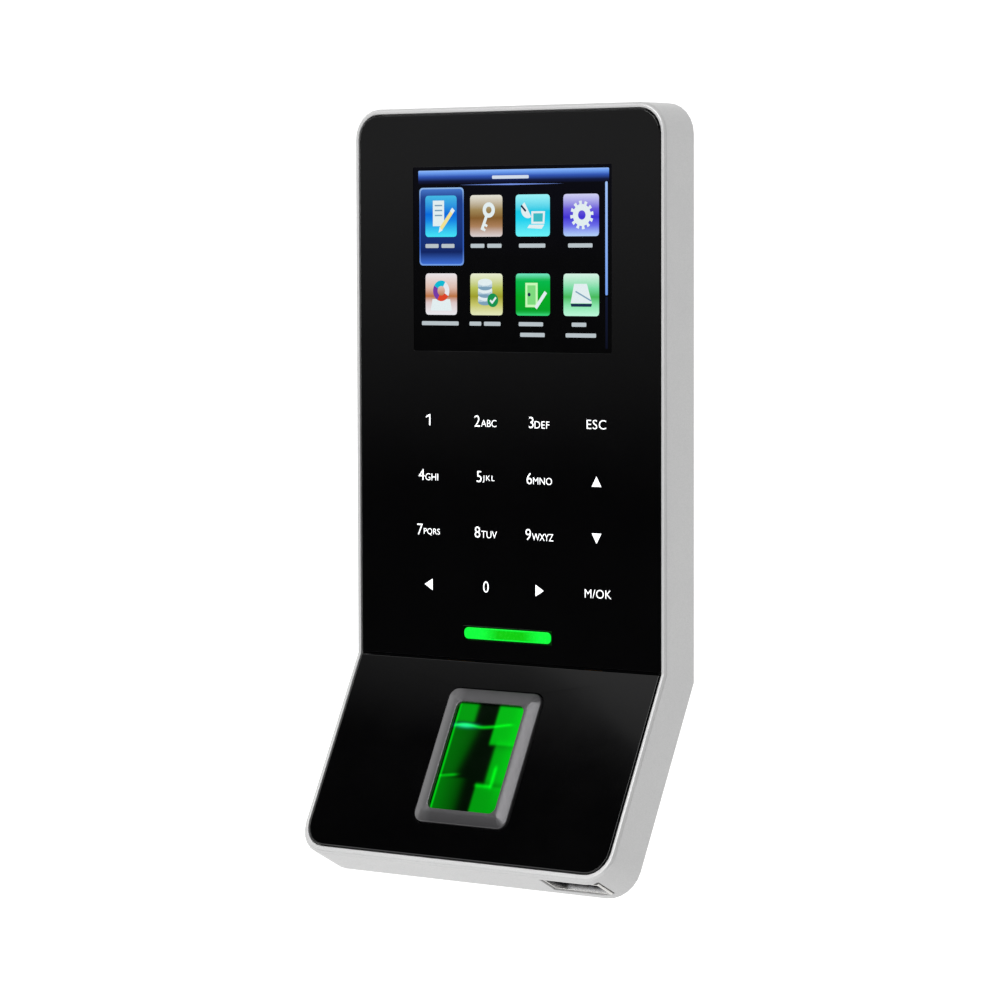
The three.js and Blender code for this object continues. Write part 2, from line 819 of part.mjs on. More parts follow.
function tamperSwitch() {
  const half = tamperBody / 2;
  const well = rod(0, tamperZ, plungerRadius + gap, tamperFloor - plungerTravel, plinthBack);
  return block([-half, half], [partsBack, partsBack + tamperHeight], [tamperZ - half, tamperZ + half])
    .subtract(well);
}

function resetSwitch() {
  const half = resetBody / 2;
  const well = rod(resetX, resetZ, resetRadius + gap, partsBack + gap, plinthBack);
  return block([resetX - half, resetX + half], [partsBack, resetTop], [resetZ - half, resetZ + half])
    .subtract(well);
}
const plungerFront = tamperFloor + gap;
const resetFront = partsBack + 2 * gap + resetTravel;
add(terminalFrame, 'tamper_switch', tamperSwitch(), chipBlack);
const plunger = rod(0, tamperZ, plungerRadius, plungerFront, plinthBack);
const resetButton = rod(resetX, resetZ, resetRadius, resetFront, resetTop + resetStand);
add(terminalFrame, 'tamper_plunger', plunger, ivory);
add(terminalFrame, 'reset_switch', resetSwitch(), tin);
add(terminalFrame, 'reset_button', resetButton, chipBlack);

// ---------- rear cover ----------
const throughRear = [plinthFloor - margin, plinthBack + margin];

function hookSlot(x, z) {
  const half = hookWidth / 2 + 2 * gap;
  const low = z - plateThickness - liftTravel - gap;
  return block([x - half, x + half], throughRear, [low, z + gap]);
}

const hookPlaces = hookHeights.flatMap((z) => [[-hookX, z], [hookX, z]]);

function grilleSlot(i) {
  const z = speakerZ + (i - (grilleSlots - 1) / 2) * grillePitch;
  return block(
    [-grilleLength / 2, grilleLength / 2],
    throughRear,
    [z - grilleSlotWidth / 2, z + grilleSlotWidth / 2],
  );
}

function rearCover() {
  const plate = bent(slab(insetOutline(coverLip + gap), coverFront, bodyDepth));
  const outer = outline(-plinthHalfWidth, plinthHalfWidth, plinthLow, plinthHigh, plinthRadius);
  const inside = plinthHalfWidth - coverWall;
  const innerRadius = plinthRadius - coverWall;
  const inner = outline(-inside, inside, plinthLow + coverWall, plinthHigh - coverWall, innerRadius);
  const posts = postPlaces.map(([x, z]) => rod(x, z, postRadius, partsBack, plinthFloor + gap));
  const boss = block(
    [-securityBoss, securityBoss],
    [securityDepth - securityBoss, plinthFloor + gap],
    [plinthLow + coverWall - gap, plinthLow + securityLength + coverWall],
  );
  const cuts = [
    block([-cableHalfWidth, cableHalfWidth], throughRear, [cableLow, cableHigh]),
    upright(0, securityDepth, securityHole, plinthLow - margin, plinthLow + securityLength),
    rod(0, tamperZ, plungerRadius + gap, ...throughRear),
    ...postPlaces.map(([x, z]) => rod(x, z, smallHole, boardFront, plinthFloor - margin)),
    atBosses(smallHole, coverFront - margin, bodyDepth + margin),
    ...hookPlaces.map(([x, z]) => hookSlot(x, z)),
    ...Array.from({ length: grilleSlots }, (_, i) => grilleSlot(i)),
  ];
  return plate
    .add(slab(outer, coverFront, plinthBack))
    .subtract(slab(inner, coverFront - margin, plinthFloor))
    .add(joined([...posts, boss]))
    .subtract(joined(cuts));
}
add(terminalFrame, 'rear_cover', rearCover(), blackPlastic);

// ---------- screws ----------
// A pan head screw: the head's underside at the origin, the shank along +Y.
function screw(size, length) {
  const head = rod(0, 0, size.head, -size.headHeight, 0);
  const shank = rod(0, 0, size.shank, -gap, length, roundSteps / 2);
  const depth = [-size.headHeight - margin, -size.headHeight + size.slotDepth];
  const [half, thin] = [size.slotHalf, size.slot / 2];
  const cross = block([-half, half], depth, [-thin, thin]).add(block([-thin, thin], depth, [-half, half]));
  return head.add(shank).subtract(cross);
}

function addScrew(group, name, size, length, place, turn) {
  const mesh = new THREE.Mesh(geometryOf(screw(size, length)), steel);
  mesh.name = name;
  mesh.position.set(...place);
  mesh.rotation.set(...turn);
  group.add(mesh);
}
const facingWall = [Math.PI, 0, 0];
const coverScrewLength = coverWall + bossHoleDepth;
const screwPlaces = ['lower_left', 'lower_right', 'upper_left', 'upper_right'];
bossPlaces.forEach(([x, z], i) => {
  const place = [x, bodyDepth + gap, z];
  const foot = x < 0 ? 'foot_left' : 'foot_right';
  const [frame, end] = z > 0 ? [terminalFrame, screwPlaces[i]] : [lowerFrame, foot];
  addScrew(frame, `cover_screw_${end}`, smallScrew, coverScrewLength, place, facingWall);
});
postPlaces.forEach(([x, z], i) => {
  const place = [x, partsFront, z];
  addScrew(terminalFrame, `board_screw_${screwPlaces[i]}`, smallScrew, boardScrewLength, place, [0, 0, 0]);
});
addScrew(
  terminalFrame,
  'security_screw',
  securityScrew,
  securityLength - gap,
  [0, securityDepth, flangeLow - gap],
  [Math.PI / 2, 0, 0],
);

// ---------- wall plate ----------
function hook(x, z) {
  const half = hookWidth / 2;
  const lipBack = plinthFloor - gap;
  const lipFront = lipBack - plateThickness;
  const across = [x - half, x + half];
  const prong = block(across, [lipFront, plateBack], [z - plateThickness, z]);
  const lip = block(across, [lipFront, lipBack], [z - plateThickness, z + hookLip]);
  return prong.add(lip);
}

function hookWindow(x, z) {
  const half = hookWidth / 2 + gap;
  const reach = hookLip + plateBack - plinthFloor;
  return block([x - half, x + half], [plateFront - margin, plateBack + margin], [z, z + reach]);
}

function wallPlate() {
  const shape = outline(-plateHalfWidth, plateHalfWidth, flangeLow, plateHigh, plateRadius);
  const cable = block(
    [-cableHalfWidth + plateCableMargin, cableHalfWidth - plateCableMargin],
    [plateFront - margin, plateBack + margin],
    [cableLow + plateCableMargin / 2, cableHigh - plateCableMargin / 2],
  );
  const wallHoles = wallHoleHeights.flatMap((z) => [-wallHoleX, wallHoleX].map(
    (x) => rod(x, z, wallHoleRadius, plateFront - margin, plateBack + margin),
  ));
  const flange = block(
    [-flangeHalfWidth, flangeHalfWidth],
    [plateBack - flangeReach, plateBack],
    [flangeLow, flangeHigh],
  );
  return slab(shape, plateFront, plateBack)
    .subtract(joined([cable, ...wallHoles, ...hookPlaces.map(([x, z]) => hookWindow(x, z))]))
    .add(joined([flange, ...hookPlaces.map(([x, z]) => hook(x, z))]))
    .subtract(upright(0, securityDepth, securityHole, flangeLow - margin, flangeHigh + margin));
}
add(terminalFrame, 'wall_plate', wallPlate(), steel);

const model = new THREE.Group();
model.add(terminalFrame);
export default model;
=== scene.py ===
"""Finished looks of a wall terminal with a screen, a touch keypad and a fingerprint window."""

import json
import math

import bmesh
import bpy
from mathutils import Matrix, Vector


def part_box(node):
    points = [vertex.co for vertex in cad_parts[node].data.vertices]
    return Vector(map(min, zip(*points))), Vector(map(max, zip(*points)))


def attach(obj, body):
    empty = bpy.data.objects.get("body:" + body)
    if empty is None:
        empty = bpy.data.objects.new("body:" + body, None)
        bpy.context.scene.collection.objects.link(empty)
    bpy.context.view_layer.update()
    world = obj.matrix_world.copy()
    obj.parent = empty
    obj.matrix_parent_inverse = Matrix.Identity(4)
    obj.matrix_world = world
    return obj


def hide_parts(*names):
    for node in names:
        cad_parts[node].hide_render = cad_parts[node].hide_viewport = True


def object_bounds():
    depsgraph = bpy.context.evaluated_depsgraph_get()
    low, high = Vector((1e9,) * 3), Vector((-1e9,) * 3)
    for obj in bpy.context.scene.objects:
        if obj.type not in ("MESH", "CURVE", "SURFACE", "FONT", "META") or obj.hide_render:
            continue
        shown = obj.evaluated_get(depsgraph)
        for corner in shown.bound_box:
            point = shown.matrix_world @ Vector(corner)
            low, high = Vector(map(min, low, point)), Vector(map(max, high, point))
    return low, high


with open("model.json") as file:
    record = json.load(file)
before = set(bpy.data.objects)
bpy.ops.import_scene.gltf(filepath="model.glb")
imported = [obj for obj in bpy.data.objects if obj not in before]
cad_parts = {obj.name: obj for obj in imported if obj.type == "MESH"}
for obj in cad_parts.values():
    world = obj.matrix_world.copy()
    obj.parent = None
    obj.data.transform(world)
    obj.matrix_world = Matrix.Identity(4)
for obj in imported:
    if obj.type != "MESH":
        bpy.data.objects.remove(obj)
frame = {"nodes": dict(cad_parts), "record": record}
CAD_LOW, CAD_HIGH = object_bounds()
CENTRE = (CAD_LOW + CAD_HIGH) / 2
MM = 0.001


def linked(made):
    """Puts an object into the scene."""
    bpy.context.scene.collection.objects.link(made)
    return made


# ---------------------------------------------------------------- camera
AIM = CENTRE + Vector((-0.91, -0.77, -1.34)) * MM
CAMERA_DISTANCE = 0.8306
CAMERA_ROUND = math.radians(37.380)
CAMERA_ABOVE = math.radians(3.4655)
CAMERA_LEAN = math.radians(0.16)
LENS = 147.962

TOWARD_CAMERA = Vector(
    (
        math.sin(CAMERA_ROUND) * math.cos(CAMERA_ABOVE),
        -math.cos(CAMERA_ROUND) * math.cos(CAMERA_ABOVE),
        math.sin(CAMERA_ABOVE),
    )
)
camera_data = bpy.data.cameras.new("studio_camera")
camera_data.lens = LENS
camera_data.sensor_width = 36
camera_data.clip_start = 0.01
camera_data.clip_end = 50
camera = linked(bpy.data.objects.new("studio_camera", camera_data))
camera.rotation_mode = "QUATERNION"
camera.location = AIM + TOWARD_CAMERA * CAMERA_DISTANCE
facing = (-TOWARD_CAMERA).to_track_quat("-Z", "Y").to_matrix()
camera.rotation_quaternion = (facing @ Matrix.Rotation(-CAMERA_LEAN, 3, "Z")).to_quaternion()
bpy.context.scene.camera = camera
bpy.context.scene.view_settings.view_transform = "Standard"


# ---------------------------------------------------------------- faces of the terminal
FOLD = math.radians(27.08)
SEAM = 0.15 * MM
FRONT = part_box("upper_panel")[0].y
FOLD_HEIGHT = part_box("upper_panel")[0].z - SEAM


def face_frame(turn):
    """Local X across, Y up along the face, Z out of the face, with the fold as its origin."""
    across = Vector((1, 0, 0))
    up = Vector((0, math.sin(turn), math.cos(turn)))
    out = Vector((0, -math.cos(turn), math.sin(turn)))
    made = Matrix((across, up, out)).transposed().to_4x4()
    made.translation = Vector((0, FRONT, FOLD_HEIGHT))
    return made


UPPER_FACE = face_frame(0)
LOWER_FACE = face_frame(FOLD)


# ---------------------------------------------------------------- colours and materials
# A noise keeps nearly all of its values between these two.
NOISE_LOW, NOISE_HIGH = 0.3, 0.7


def linear(red, green, blue):
    """A screen colour, 0 to 255, as light."""
    light = [((c / 255 + 0.055) / 1.055) ** 2.4 if c > 10 else c / 3295 for c in (red, green, blue)]
    return (*light, 1.0)


def shade(colour, share):
    return tuple(c * share for c in colour[:3]) + (1.0,)


class Nodes:
    """A material's tree, with short ways to add and join its nodes."""

    def __init__(self, name):
        self.material = bpy.data.materials.new(name)
        self.material.use_nodes = True
        self.tree = self.material.node_tree
        self.tree.nodes.clear()
        out = self.add("OutputMaterial")
        self.shader = self.add("BsdfPrincipled")
        self.join(self.shader.outputs["BSDF"], out.inputs["Surface"])
        self.place = self.add("TexCoord").outputs["Object"]

    def add(self, kind, **sockets):
        node = self.tree.nodes.new("ShaderNode" + kind)
        for name, value in sockets.items():
            node.inputs[name.replace("_", " ")].default_value = value
        return node

    def join(self, source, target):
        self.tree.links.new(source, target)

    def set(self, **values):
        for name, value in values.items():
            self.shader.inputs[name.replace("_", " ")].default_value = value

    def drive(self, name, source):
        """Lets a pattern set one of the shader's values."""
        self.join(source, self.shader.inputs[name])

    def paint(self, source):
        self.drive("Base Color", source)
        self.colour = source

    def gloss(self, source, low, high):
        """Roughness that runs from low to high with a noise."""
        self.drive("Roughness", self.between(source, low, high, NOISE_LOW, NOISE_HIGH))

    def stretched(self, scale):
        mapping = self.add("Mapping", Scale=scale)
        self.join(self.place, mapping.inputs["Vector"])
        return mapping.outputs["Vector"]

    def noise(self, scale, detail=3.0, rough=0.5, along=None):
        node = self.add("TexNoise", Scale=scale, Detail=detail, Roughness=rough)
        self.join(along or self.place, node.inputs["Vector"])
        return node.outputs["Fac"]

    def cells(self, scale):
        """How far each place is from the middle of its cell."""
        node = self.add("TexVoronoi", Scale=scale)
        self.join(self.place, node.inputs["Vector"])
        return node.outputs["Distance"]

    def between(self, source, low, high, from_low=0.0, from_high=1.0):
        node = self.add("MapRange", From_Min=from_low, From_Max=from_high, To_Min=low, To_Max=high)
        self.join(source, node.inputs["Value"])
        return node.outputs["Result"]

    def mixed(self, share, first, second):
        node = self.add("Mix")
        node.data_type = "RGBA"
        self.join(share, node.inputs["Factor"])
        for socket, colour in ((node.inputs["A"], first), (node.inputs["B"], second)):
            if isinstance(colour, bpy.types.NodeSocket):
                self.join(colour, socket)
            else:
                socket.default_value = colour
        return node.outputs["Result"]

    def math(self, operation, first, second=None):
        node = self.add("Math")
        node.operation = operation
        for socket, value in zip(node.inputs, (first, second)):
            if isinstance(value, bpy.types.NodeSocket):
                self.join(value, socket)
            elif value is not None:
                socket.default_value = value
        return node.outputs["Value"]

    def part(self, axis):
        node = self.add("SeparateXYZ")
        self.join(self.place, node.inputs["Vector"])
        return node.outputs[axis]

    def relief(self, height, distance, strength=1.0):
        node = self.add("Bump", Strength=strength, Distance=distance)
        self.join(height, node.inputs["Height"])
        self.drive("Normal", node.outputs["Normal"])


def plain_finish(name, colour, rough, spread, patch, grain, depth, vary=0.06, **sockets):
    """A moulded, painted or plated surface: soft patches of tone, uneven gloss and a fine grain."""
    n = Nodes(name)
    n.paint(n.mixed(n.noise(patch, 4), shade(colour, 1 - spread), shade(colour, 1 + spread)))
    fine = n.noise(grain, 2)
    n.gloss(fine, rough - vary, rough + vary)
    n.relief(fine, depth * MM)
    n.set(**sockets)
    return n


def satin_silver():
    """Silver paint: tiny bright flakes under a satin coat."""
    n = Nodes("satin_silver")
    flake = n.between(n.cells(6500), 0.0, 1.0, 0.0, 0.7)
    base = n.mixed(flake, (0.47, 0.47, 0.467, 1), (0.39, 0.39, 0.39, 1))
    worn = n.between(n.noise(90, 3), 0.0, 0.25, 0.35, 0.65)
    n.paint(n.mixed(worn, base, (0.37, 0.37, 0.374, 1)))
    n.gloss(n.noise(2400, 2), 0.36, 0.46)
    n.relief(n.noise(5200, 2), 0.004 * MM)
    n.set(Metallic=0.35, Coat_Weight=0.15, Coat_Roughness=0.25)
    return n.material


def black_glass():
    """Black glass with a trace of orange peel and smear."""
    n = Nodes("black_glass")
    smear = n.noise(60, 5, 0.6)
    n.paint(n.mixed(smear, (0.0002, 0.0002, 0.0003, 1), (0.0006, 0.0006, 0.0007, 1)))
    n.gloss(smear, 0.05, 0.085)
    n.relief(n.noise(38, 1), 0.004 * MM)
    n.set(IOR=1.5)
    return n.material


def light_guide():
    """The light bar: only its front glows, bright at its ends and edges, deeper in the middle."""
    n = Nodes("light_guide")
    low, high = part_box("status_light_guide")
    width = high.x - low.x
    off_middle = n.math("ABSOLUTE", n.math("SUBTRACT", n.part("X"), 0.04 * width))
    ends = n.between(off_middle, 0.0, 1.0, 0.13 * width, 0.30 * width)
    off_line = n.math("ABSOLUTE", n.math("SUBTRACT", n.part("Z"), (low.z + high.z) / 2))
    edges = n.between(off_line, 0.0, 1.0, 0.75 * MM, 1.05 * MM)
    front = n.between(n.part("Y"), 1.0, 0.02, low.y + 0.20 * MM, low.y + 0.40 * MM)
    speck_low, speck_high = 0.94, 1.05
    speck = n.between(n.noise(1500, 2), speck_low, speck_high, NOISE_LOW, NOISE_HIGH)
    bright = n.math("MAXIMUM", ends, edges)
    n.drive("Emission Color", n.mixed(bright, linear(0, 200, 0), linear(0, 255, 60)))
    n.drive("Emission Strength", n.math("MULTIPLY", speck, front))
    n.drive("Roughness", n.between(speck, 0.2, 0.3, speck_low, speck_high))
    n.set(Base_Color=(0.0, 0.03, 0.0, 1))
    return n.material


def lit_picture(name, rough):
    """Light that a piece carries in its own colours, with a fine dot grid over it."""
    n = Nodes(name)
    colours = n.add("Attribute")
    colours.attribute_name = "glow"
    n.drive("Emission Color", colours.outputs["Color"])
    n.drive("Emission Strength", n.between(n.cells(9000), 1.0, 0.9, 0.2, 0.7))
    n.gloss(n.noise(300, 3), rough - 0.03, rough + 0.03)
    n.set(Base_Color=(0.0004, 0.0004, 0.0005, 1), Specular_IOR_Level=0.08)
    return n.material


def circuit_board():
    """Green solder mask over fine copper tracks."""
    n = Nodes("circuit_board")
    flat = n.add("CombineXYZ")
    n.join(n.part("X"), flat.inputs["X"])
    n.join(n.part("Z"), flat.inputs["Y"])
    tracks = n.add("TexBrick", Scale=1.0, Brick_Width=0.0052, Row_Height=0.0011, Mortar_Size=0.00012)
    n.join(flat.outputs["Vector"], tracks.inputs["Vector"])
    track = n.between(tracks.outputs["Fac"], 0.0, 1.0)
    mask = n.mixed(n.noise(800, 3), (0.006, 0.07, 0.022, 1), (0.012, 0.10, 0.035, 1))
    n.paint(n.mixed(track, mask, (0.03, 0.17, 0.05, 1)))
    n.gloss(n.noise(2600, 2), 0.24, 0.38)
    n.relief(track, 0.012 * MM, 0.6)
    n.set(Coat_Weight=0.3, Coat_Roughness=0.2)
    return n.material


def plated_steel():
    """Zinc plate: soft spangle, fine rolling lines and a few dull patches."""
    n = Nodes("plated_steel")
    spangle = n.between(n.cells(420), 0, 1, 0.0, 0.9)
    lines = n.noise(900, 4, 0.6, n.stretched((1, 1, 14)))
    tone = n.mixed(spangle, (0.58, 0.59, 0.60, 1), (0.44, 0.45, 0.47, 1))
    n.paint(n.mixed(n.between(lines, 0.0, 0.5, 0.4, 0.7), tone, (0.36, 0.37, 0.39, 1)))
    n.gloss(lines, 0.28, 0.5)
    n.relief(lines, 0.006 * MM)
    n.set(Metallic=0.95)
    return n.material


# Each: colour, roughness, spread of tone, patches and grains to a metre, depth of the grain in mm.
TINNED = ((0.62, 0.61, 0.59, 1), 0.27, 0.06, 380, 3800, 0.003)
MOULDED_BLACK = ((0.017, 0.017, 0.018, 1), 0.5, 0.15, 160, 2600, 0.022)
CHIP_BLACK = ((0.022, 0.022, 0.024, 1), 0.46, 0.2, 900, 7000, 0.006)
IVORY = ((0.74, 0.70, 0.60, 1), 0.42, 0.04, 420, 5200, 0.004)
AMBER = ((0.46, 0.17, 0.02, 1), 0.32, 0.1, 700, 5200, 0.002)
GOLD_PLATE = ((0.83, 0.58, 0.22, 1), 0.22, 0.05, 900, 6000, 0.001)
INK = ((0.82, 0.83, 0.84, 1), 0.45, 0.03, 900, 9000, 0.001)
PALE = ((0.80, 0.81, 0.84, 1), 0.35, 0.03, 500, 5200, 0.003)
GREY_PAINT = ((0.070, 0.069, 0.072, 1), 0.36, 0.10, 500, 4200, 0.006)


def bezel_grey():
    """Dark grey metal paint, with painted light: paler down the left of the window, where light falls."""
    n = plain_finish("bezel_grey", *GREY_PAINT, Metallic=0.8)
    # Painted light: left of the window the grey is painted paler, as if lit from the left.
    right = n.between(n.part("X"), 0.0, 1.0, -10.5 * MM, -7.0 * MM)
    n.paint(n.mixed(right, (0.135, 0.134, 0.137, 1), n.colour))
    return n.material


def socket_steel_painted_shade():
    """Tinned steel, bright at the mouth of the socket, with painted shade that darkens it inside."""
    n = plain_finish("socket_steel_painted_shade", *TINNED, Metallic=0.95)
    down = Vector((0, -math.sin(FOLD), -math.cos(FOLD)))
    mouth = max(v.co.dot(down) for v in frame["nodes"]["usb_shell"].data.vertices)
    inward = n.add("VectorMath")
    inward.operation = "DOT_PRODUCT"
    n.join(n.place, inward.inputs[0])
    inward.inputs[1].default_value = down
    # Painted shade: deeper in the socket the steel is painted dark, where little light reaches.
    deep = n.between(inward.outputs["Value"], 1.0, 0.0, mouth - 1.3 * MM, mouth - 0.35 * MM)
    n.paint(n.mixed(deep, n.colour, (0.010, 0.011, 0.020, 1)))
    return n.material


def pale_plastic_painted_glow():
    """Pale plastic of the socket's tongue, with a painted glow that makes it brighter at its end by the
    mouth.
    """
    n = plain_finish("pale_plastic_painted_glow", *PALE, Emission_Color=(0.9, 0.93, 1.0, 1))
    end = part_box("usb_tongue")[0].z
    # Painted light: the tongue's end by the mouth glows, though it is no lamp.
    n.drive("Emission Strength", n.between(n.part("Z"), 0.35, 0.0, end + 1.4 * MM, end + 2.2 * MM))
    return n.material


def white_ink():
    """Printed white ink, with a little light of its own."""
    glow = {"Emission_Color": (0.9, 0.93, 0.95, 1), "Emission_Strength": 0.45}
    return plain_finish("white_ink", *INK, **glow).material


MATERIAL = {
    "satin_silver": satin_silver(),
    "black_glass": black_glass(),
    "light_guide": light_guide(),
    "bezel_grey": bezel_grey(),
    "sensor_glass": lit_picture("sensor_glass", 0.10),
    "black_plastic": plain_finish("black_plastic", *MOULDED_BLACK, vary=0.07).material,
    "circuit_board": circuit_board(),
    "chip_black": plain_finish("chip_black", *CHIP_BLACK).material,
    "tinned_steel": plain_finish("tinned_steel", *TINNED, Metallic=0.95).material,
    "plated_steel": plated_steel(),
    "ivory_plastic": plain_finish("ivory_plastic", *IVORY).material,
    "amber_film": plain_finish("amber_film", *AMBER).material,
    "display_glass": lit_picture("display_glass", 0.2),
}
WHITE_INK = white_ink()
GOLD = plain_finish("gold_contact", *GOLD_PLATE, Metallic=1.0).material

SLOT_OF = {s["node"]: s["material_slot"] for s in frame["record"]["subparts"]}
BODY_OF = {n: b for b, members in frame["record"]["behaviour"]["bodies"].items() for n in members}
for node, cad in frame["nodes"].items():
    cad.data.materials.clear()
    cad.data.materials.append(MATERIAL[SLOT_OF[node]])


# ---------------------------------------------------------------- making pieces
SMOOTH_UNDER = math.radians(26)
SHARP_OVER = math.radians(30)
FLAT_UNDER = math.radians(0.6)
WELD = 0.0005 * MM


def mesh_from(name, made):
    """Turns worked faces into a mesh and frees them."""
    mesh = bpy.data.meshes.new(name)
    made.to_mesh(mesh)
    made.free()
    return mesh


def smooth_shading(mesh):
    """Round where faces meet softly, crisp where they meet in an edge."""
    made = bmesh.new()
    made.from_mesh(mesh)
    for edge in made.edges:
        edge.smooth = len(edge.link_faces) == 2 and edge.calc_face_angle(0) < SMOOTH_UNDER
    for face in made.faces:
        face.smooth = True
    made.to_mesh(mesh)
    made.free()


def object_of(name, mesh, material):
    mesh.materials.clear()
    mesh.materials.append(material)
    return linked(bpy.data.objects.new(name, mesh))


def settled(piece):
    """The piece with its modifiers worked into a plain mesh."""
    view = bpy.context.evaluated_depsgraph_get()
    worked = piece.evaluated_get(view)
    mesh = bpy.data.meshes.new_from_object(worked, preserve_all_data_layers=True, depsgraph=view)
    piece.modifiers.clear()
    piece.data = mesh
    return piece


def rounded(piece, edge):
    """Breaks every sharp edge by a small radius."""
    bevel = piece.modifiers.new("broken_edges", "BEVEL")
    bevel.width = edge
    bevel.segments = 3
    bevel.limit_method = "ANGLE"
    bevel.angle_limit = SHARP_OVER
    bevel.use_clamp_overlap = False
    bevel.miter_outer = "MITER_ARC"
    settled(piece)
    smooth_shading(piece.data)
    even = piece.modifiers.new("even_normals", "WEIGHTED_NORMAL")
    even.keep_sharp = True
    return settled(piece)


def copied(node, name):
    """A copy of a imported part's shape, welded and with its flat faces whole."""
    mesh = frame["nodes"][node].data.copy()
    made = bmesh.new()
    made.from_mesh(mesh)
    bmesh.ops.remove_doubles(made, verts=made.verts, dist=WELD)
    bmesh.ops.dissolve_limit(made, angle_limit=FLAT_UNDER, verts=made.verts, edges=made.edges)
    bmesh.ops.connect_verts_concave(made, faces=made.faces)
    made.to_mesh(mesh)
    made.free()
    mesh.name = name
    return object_of(name, mesh, MATERIAL[SLOT_OF[node]])


def cut(piece, tool):
    """Takes the tool's shape out of the piece."""
    action = piece.modifiers.new("cut", "BOOLEAN")
    action.operation = "DIFFERENCE"
    action.solver = "EXACT"
    action.object = tool
    settled(piece)
    bpy.data.objects.remove(tool)
    return piece


def joined(name, pieces, material):
    """Several meshes as one piece."""
    made = bmesh.new()
    for piece in pieces:
        made.from_mesh(piece.data)
    mesh = mesh_from(name, made)
    for piece in pieces:
        bpy.data.objects.remove(piece)
    return object_of(name, mesh, material)


def stands_for(piece, *nodes, body=None, slot=None):
    """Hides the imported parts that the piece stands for, and rides on their body."""
    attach(piece, body or BODY_OF[nodes[0]])
    if nodes:
        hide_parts(*nodes)
    return piece


def rounded_outline(left, right, low, high, radius, steps=8):
    """A rectangle with round corners, anticlockwise."""
    points = []
    corners = ((right, low, -90), (right, high, 0), (left, high, 90), (left, low, 180))
    for x, y, start in corners:
        centre_x = x - radius if x == right else x + radius
        centre_y = y + radius if y == low else y - radius
        for step in range(steps + 1):
            angle = math.radians(start + 90 * step / steps)
            points.append((centre_x + radius * math.cos(angle), centre_y + radius * math.sin(angle)))
    return points


def lifted(made, faces, height):
    """Gives flat faces a thickness along Z."""
    grown = bmesh.ops.extrude_face_region(made, geom=faces)
    tops = [v for v in grown["geom"] if isinstance(v, bmesh.types.BMVert)]
    bmesh.ops.translate(made, verts=tops, vec=(0, 0, height))


def plate(name, outline, low, high, material, place):
    """A flat plate of that outline between two heights over a face."""
    made = bmesh.new()
    base = made.faces.new([made.verts.new((x, y, low)) for x, y in outline])
    lifted(made, [base], high - low)
    bmesh.ops.recalc_face_normals(made, faces=made.faces)
    made.transform(place)
    return object_of(name, mesh_from(name, made), material)


# ---------------------------------------------------------------- frame, panels, bezel
# Radius of the broken edges of each piece, in mm.
EDGE = {
    "housing": 0.16,
    "lower_panel": 0.04,
    "sensor_bezel": 0.22,
    "status_light_guide": 0.10,
    "rear_cover": 0.18,
    "wall_plate": 0.14,
    "tamper_plunger": 0.12,
    "reset_button": 0.10,
    "reset_switch": 0.10,
    "network_header": 0.10,
    "data_header": 0.10,
    "power_header": 0.10,
}
for node, edge in EDGE.items():
    stands_for(rounded(copied(node, node + "_finished"), edge * MM), node)
shell = rounded(copied("usb_shell", "usb_shell_finished"), 0.09 * MM)
shell.data.materials[0] = socket_steel_painted_shade()
stands_for(shell, "usb_shell")
tongue = rounded(copied("usb_tongue", "usb_tongue_finished"), 0.08 * MM)
tongue.data.materials[0] = pale_plastic_painted_glow()
stands_for(tongue, "usb_tongue", slot="ivory_plastic")


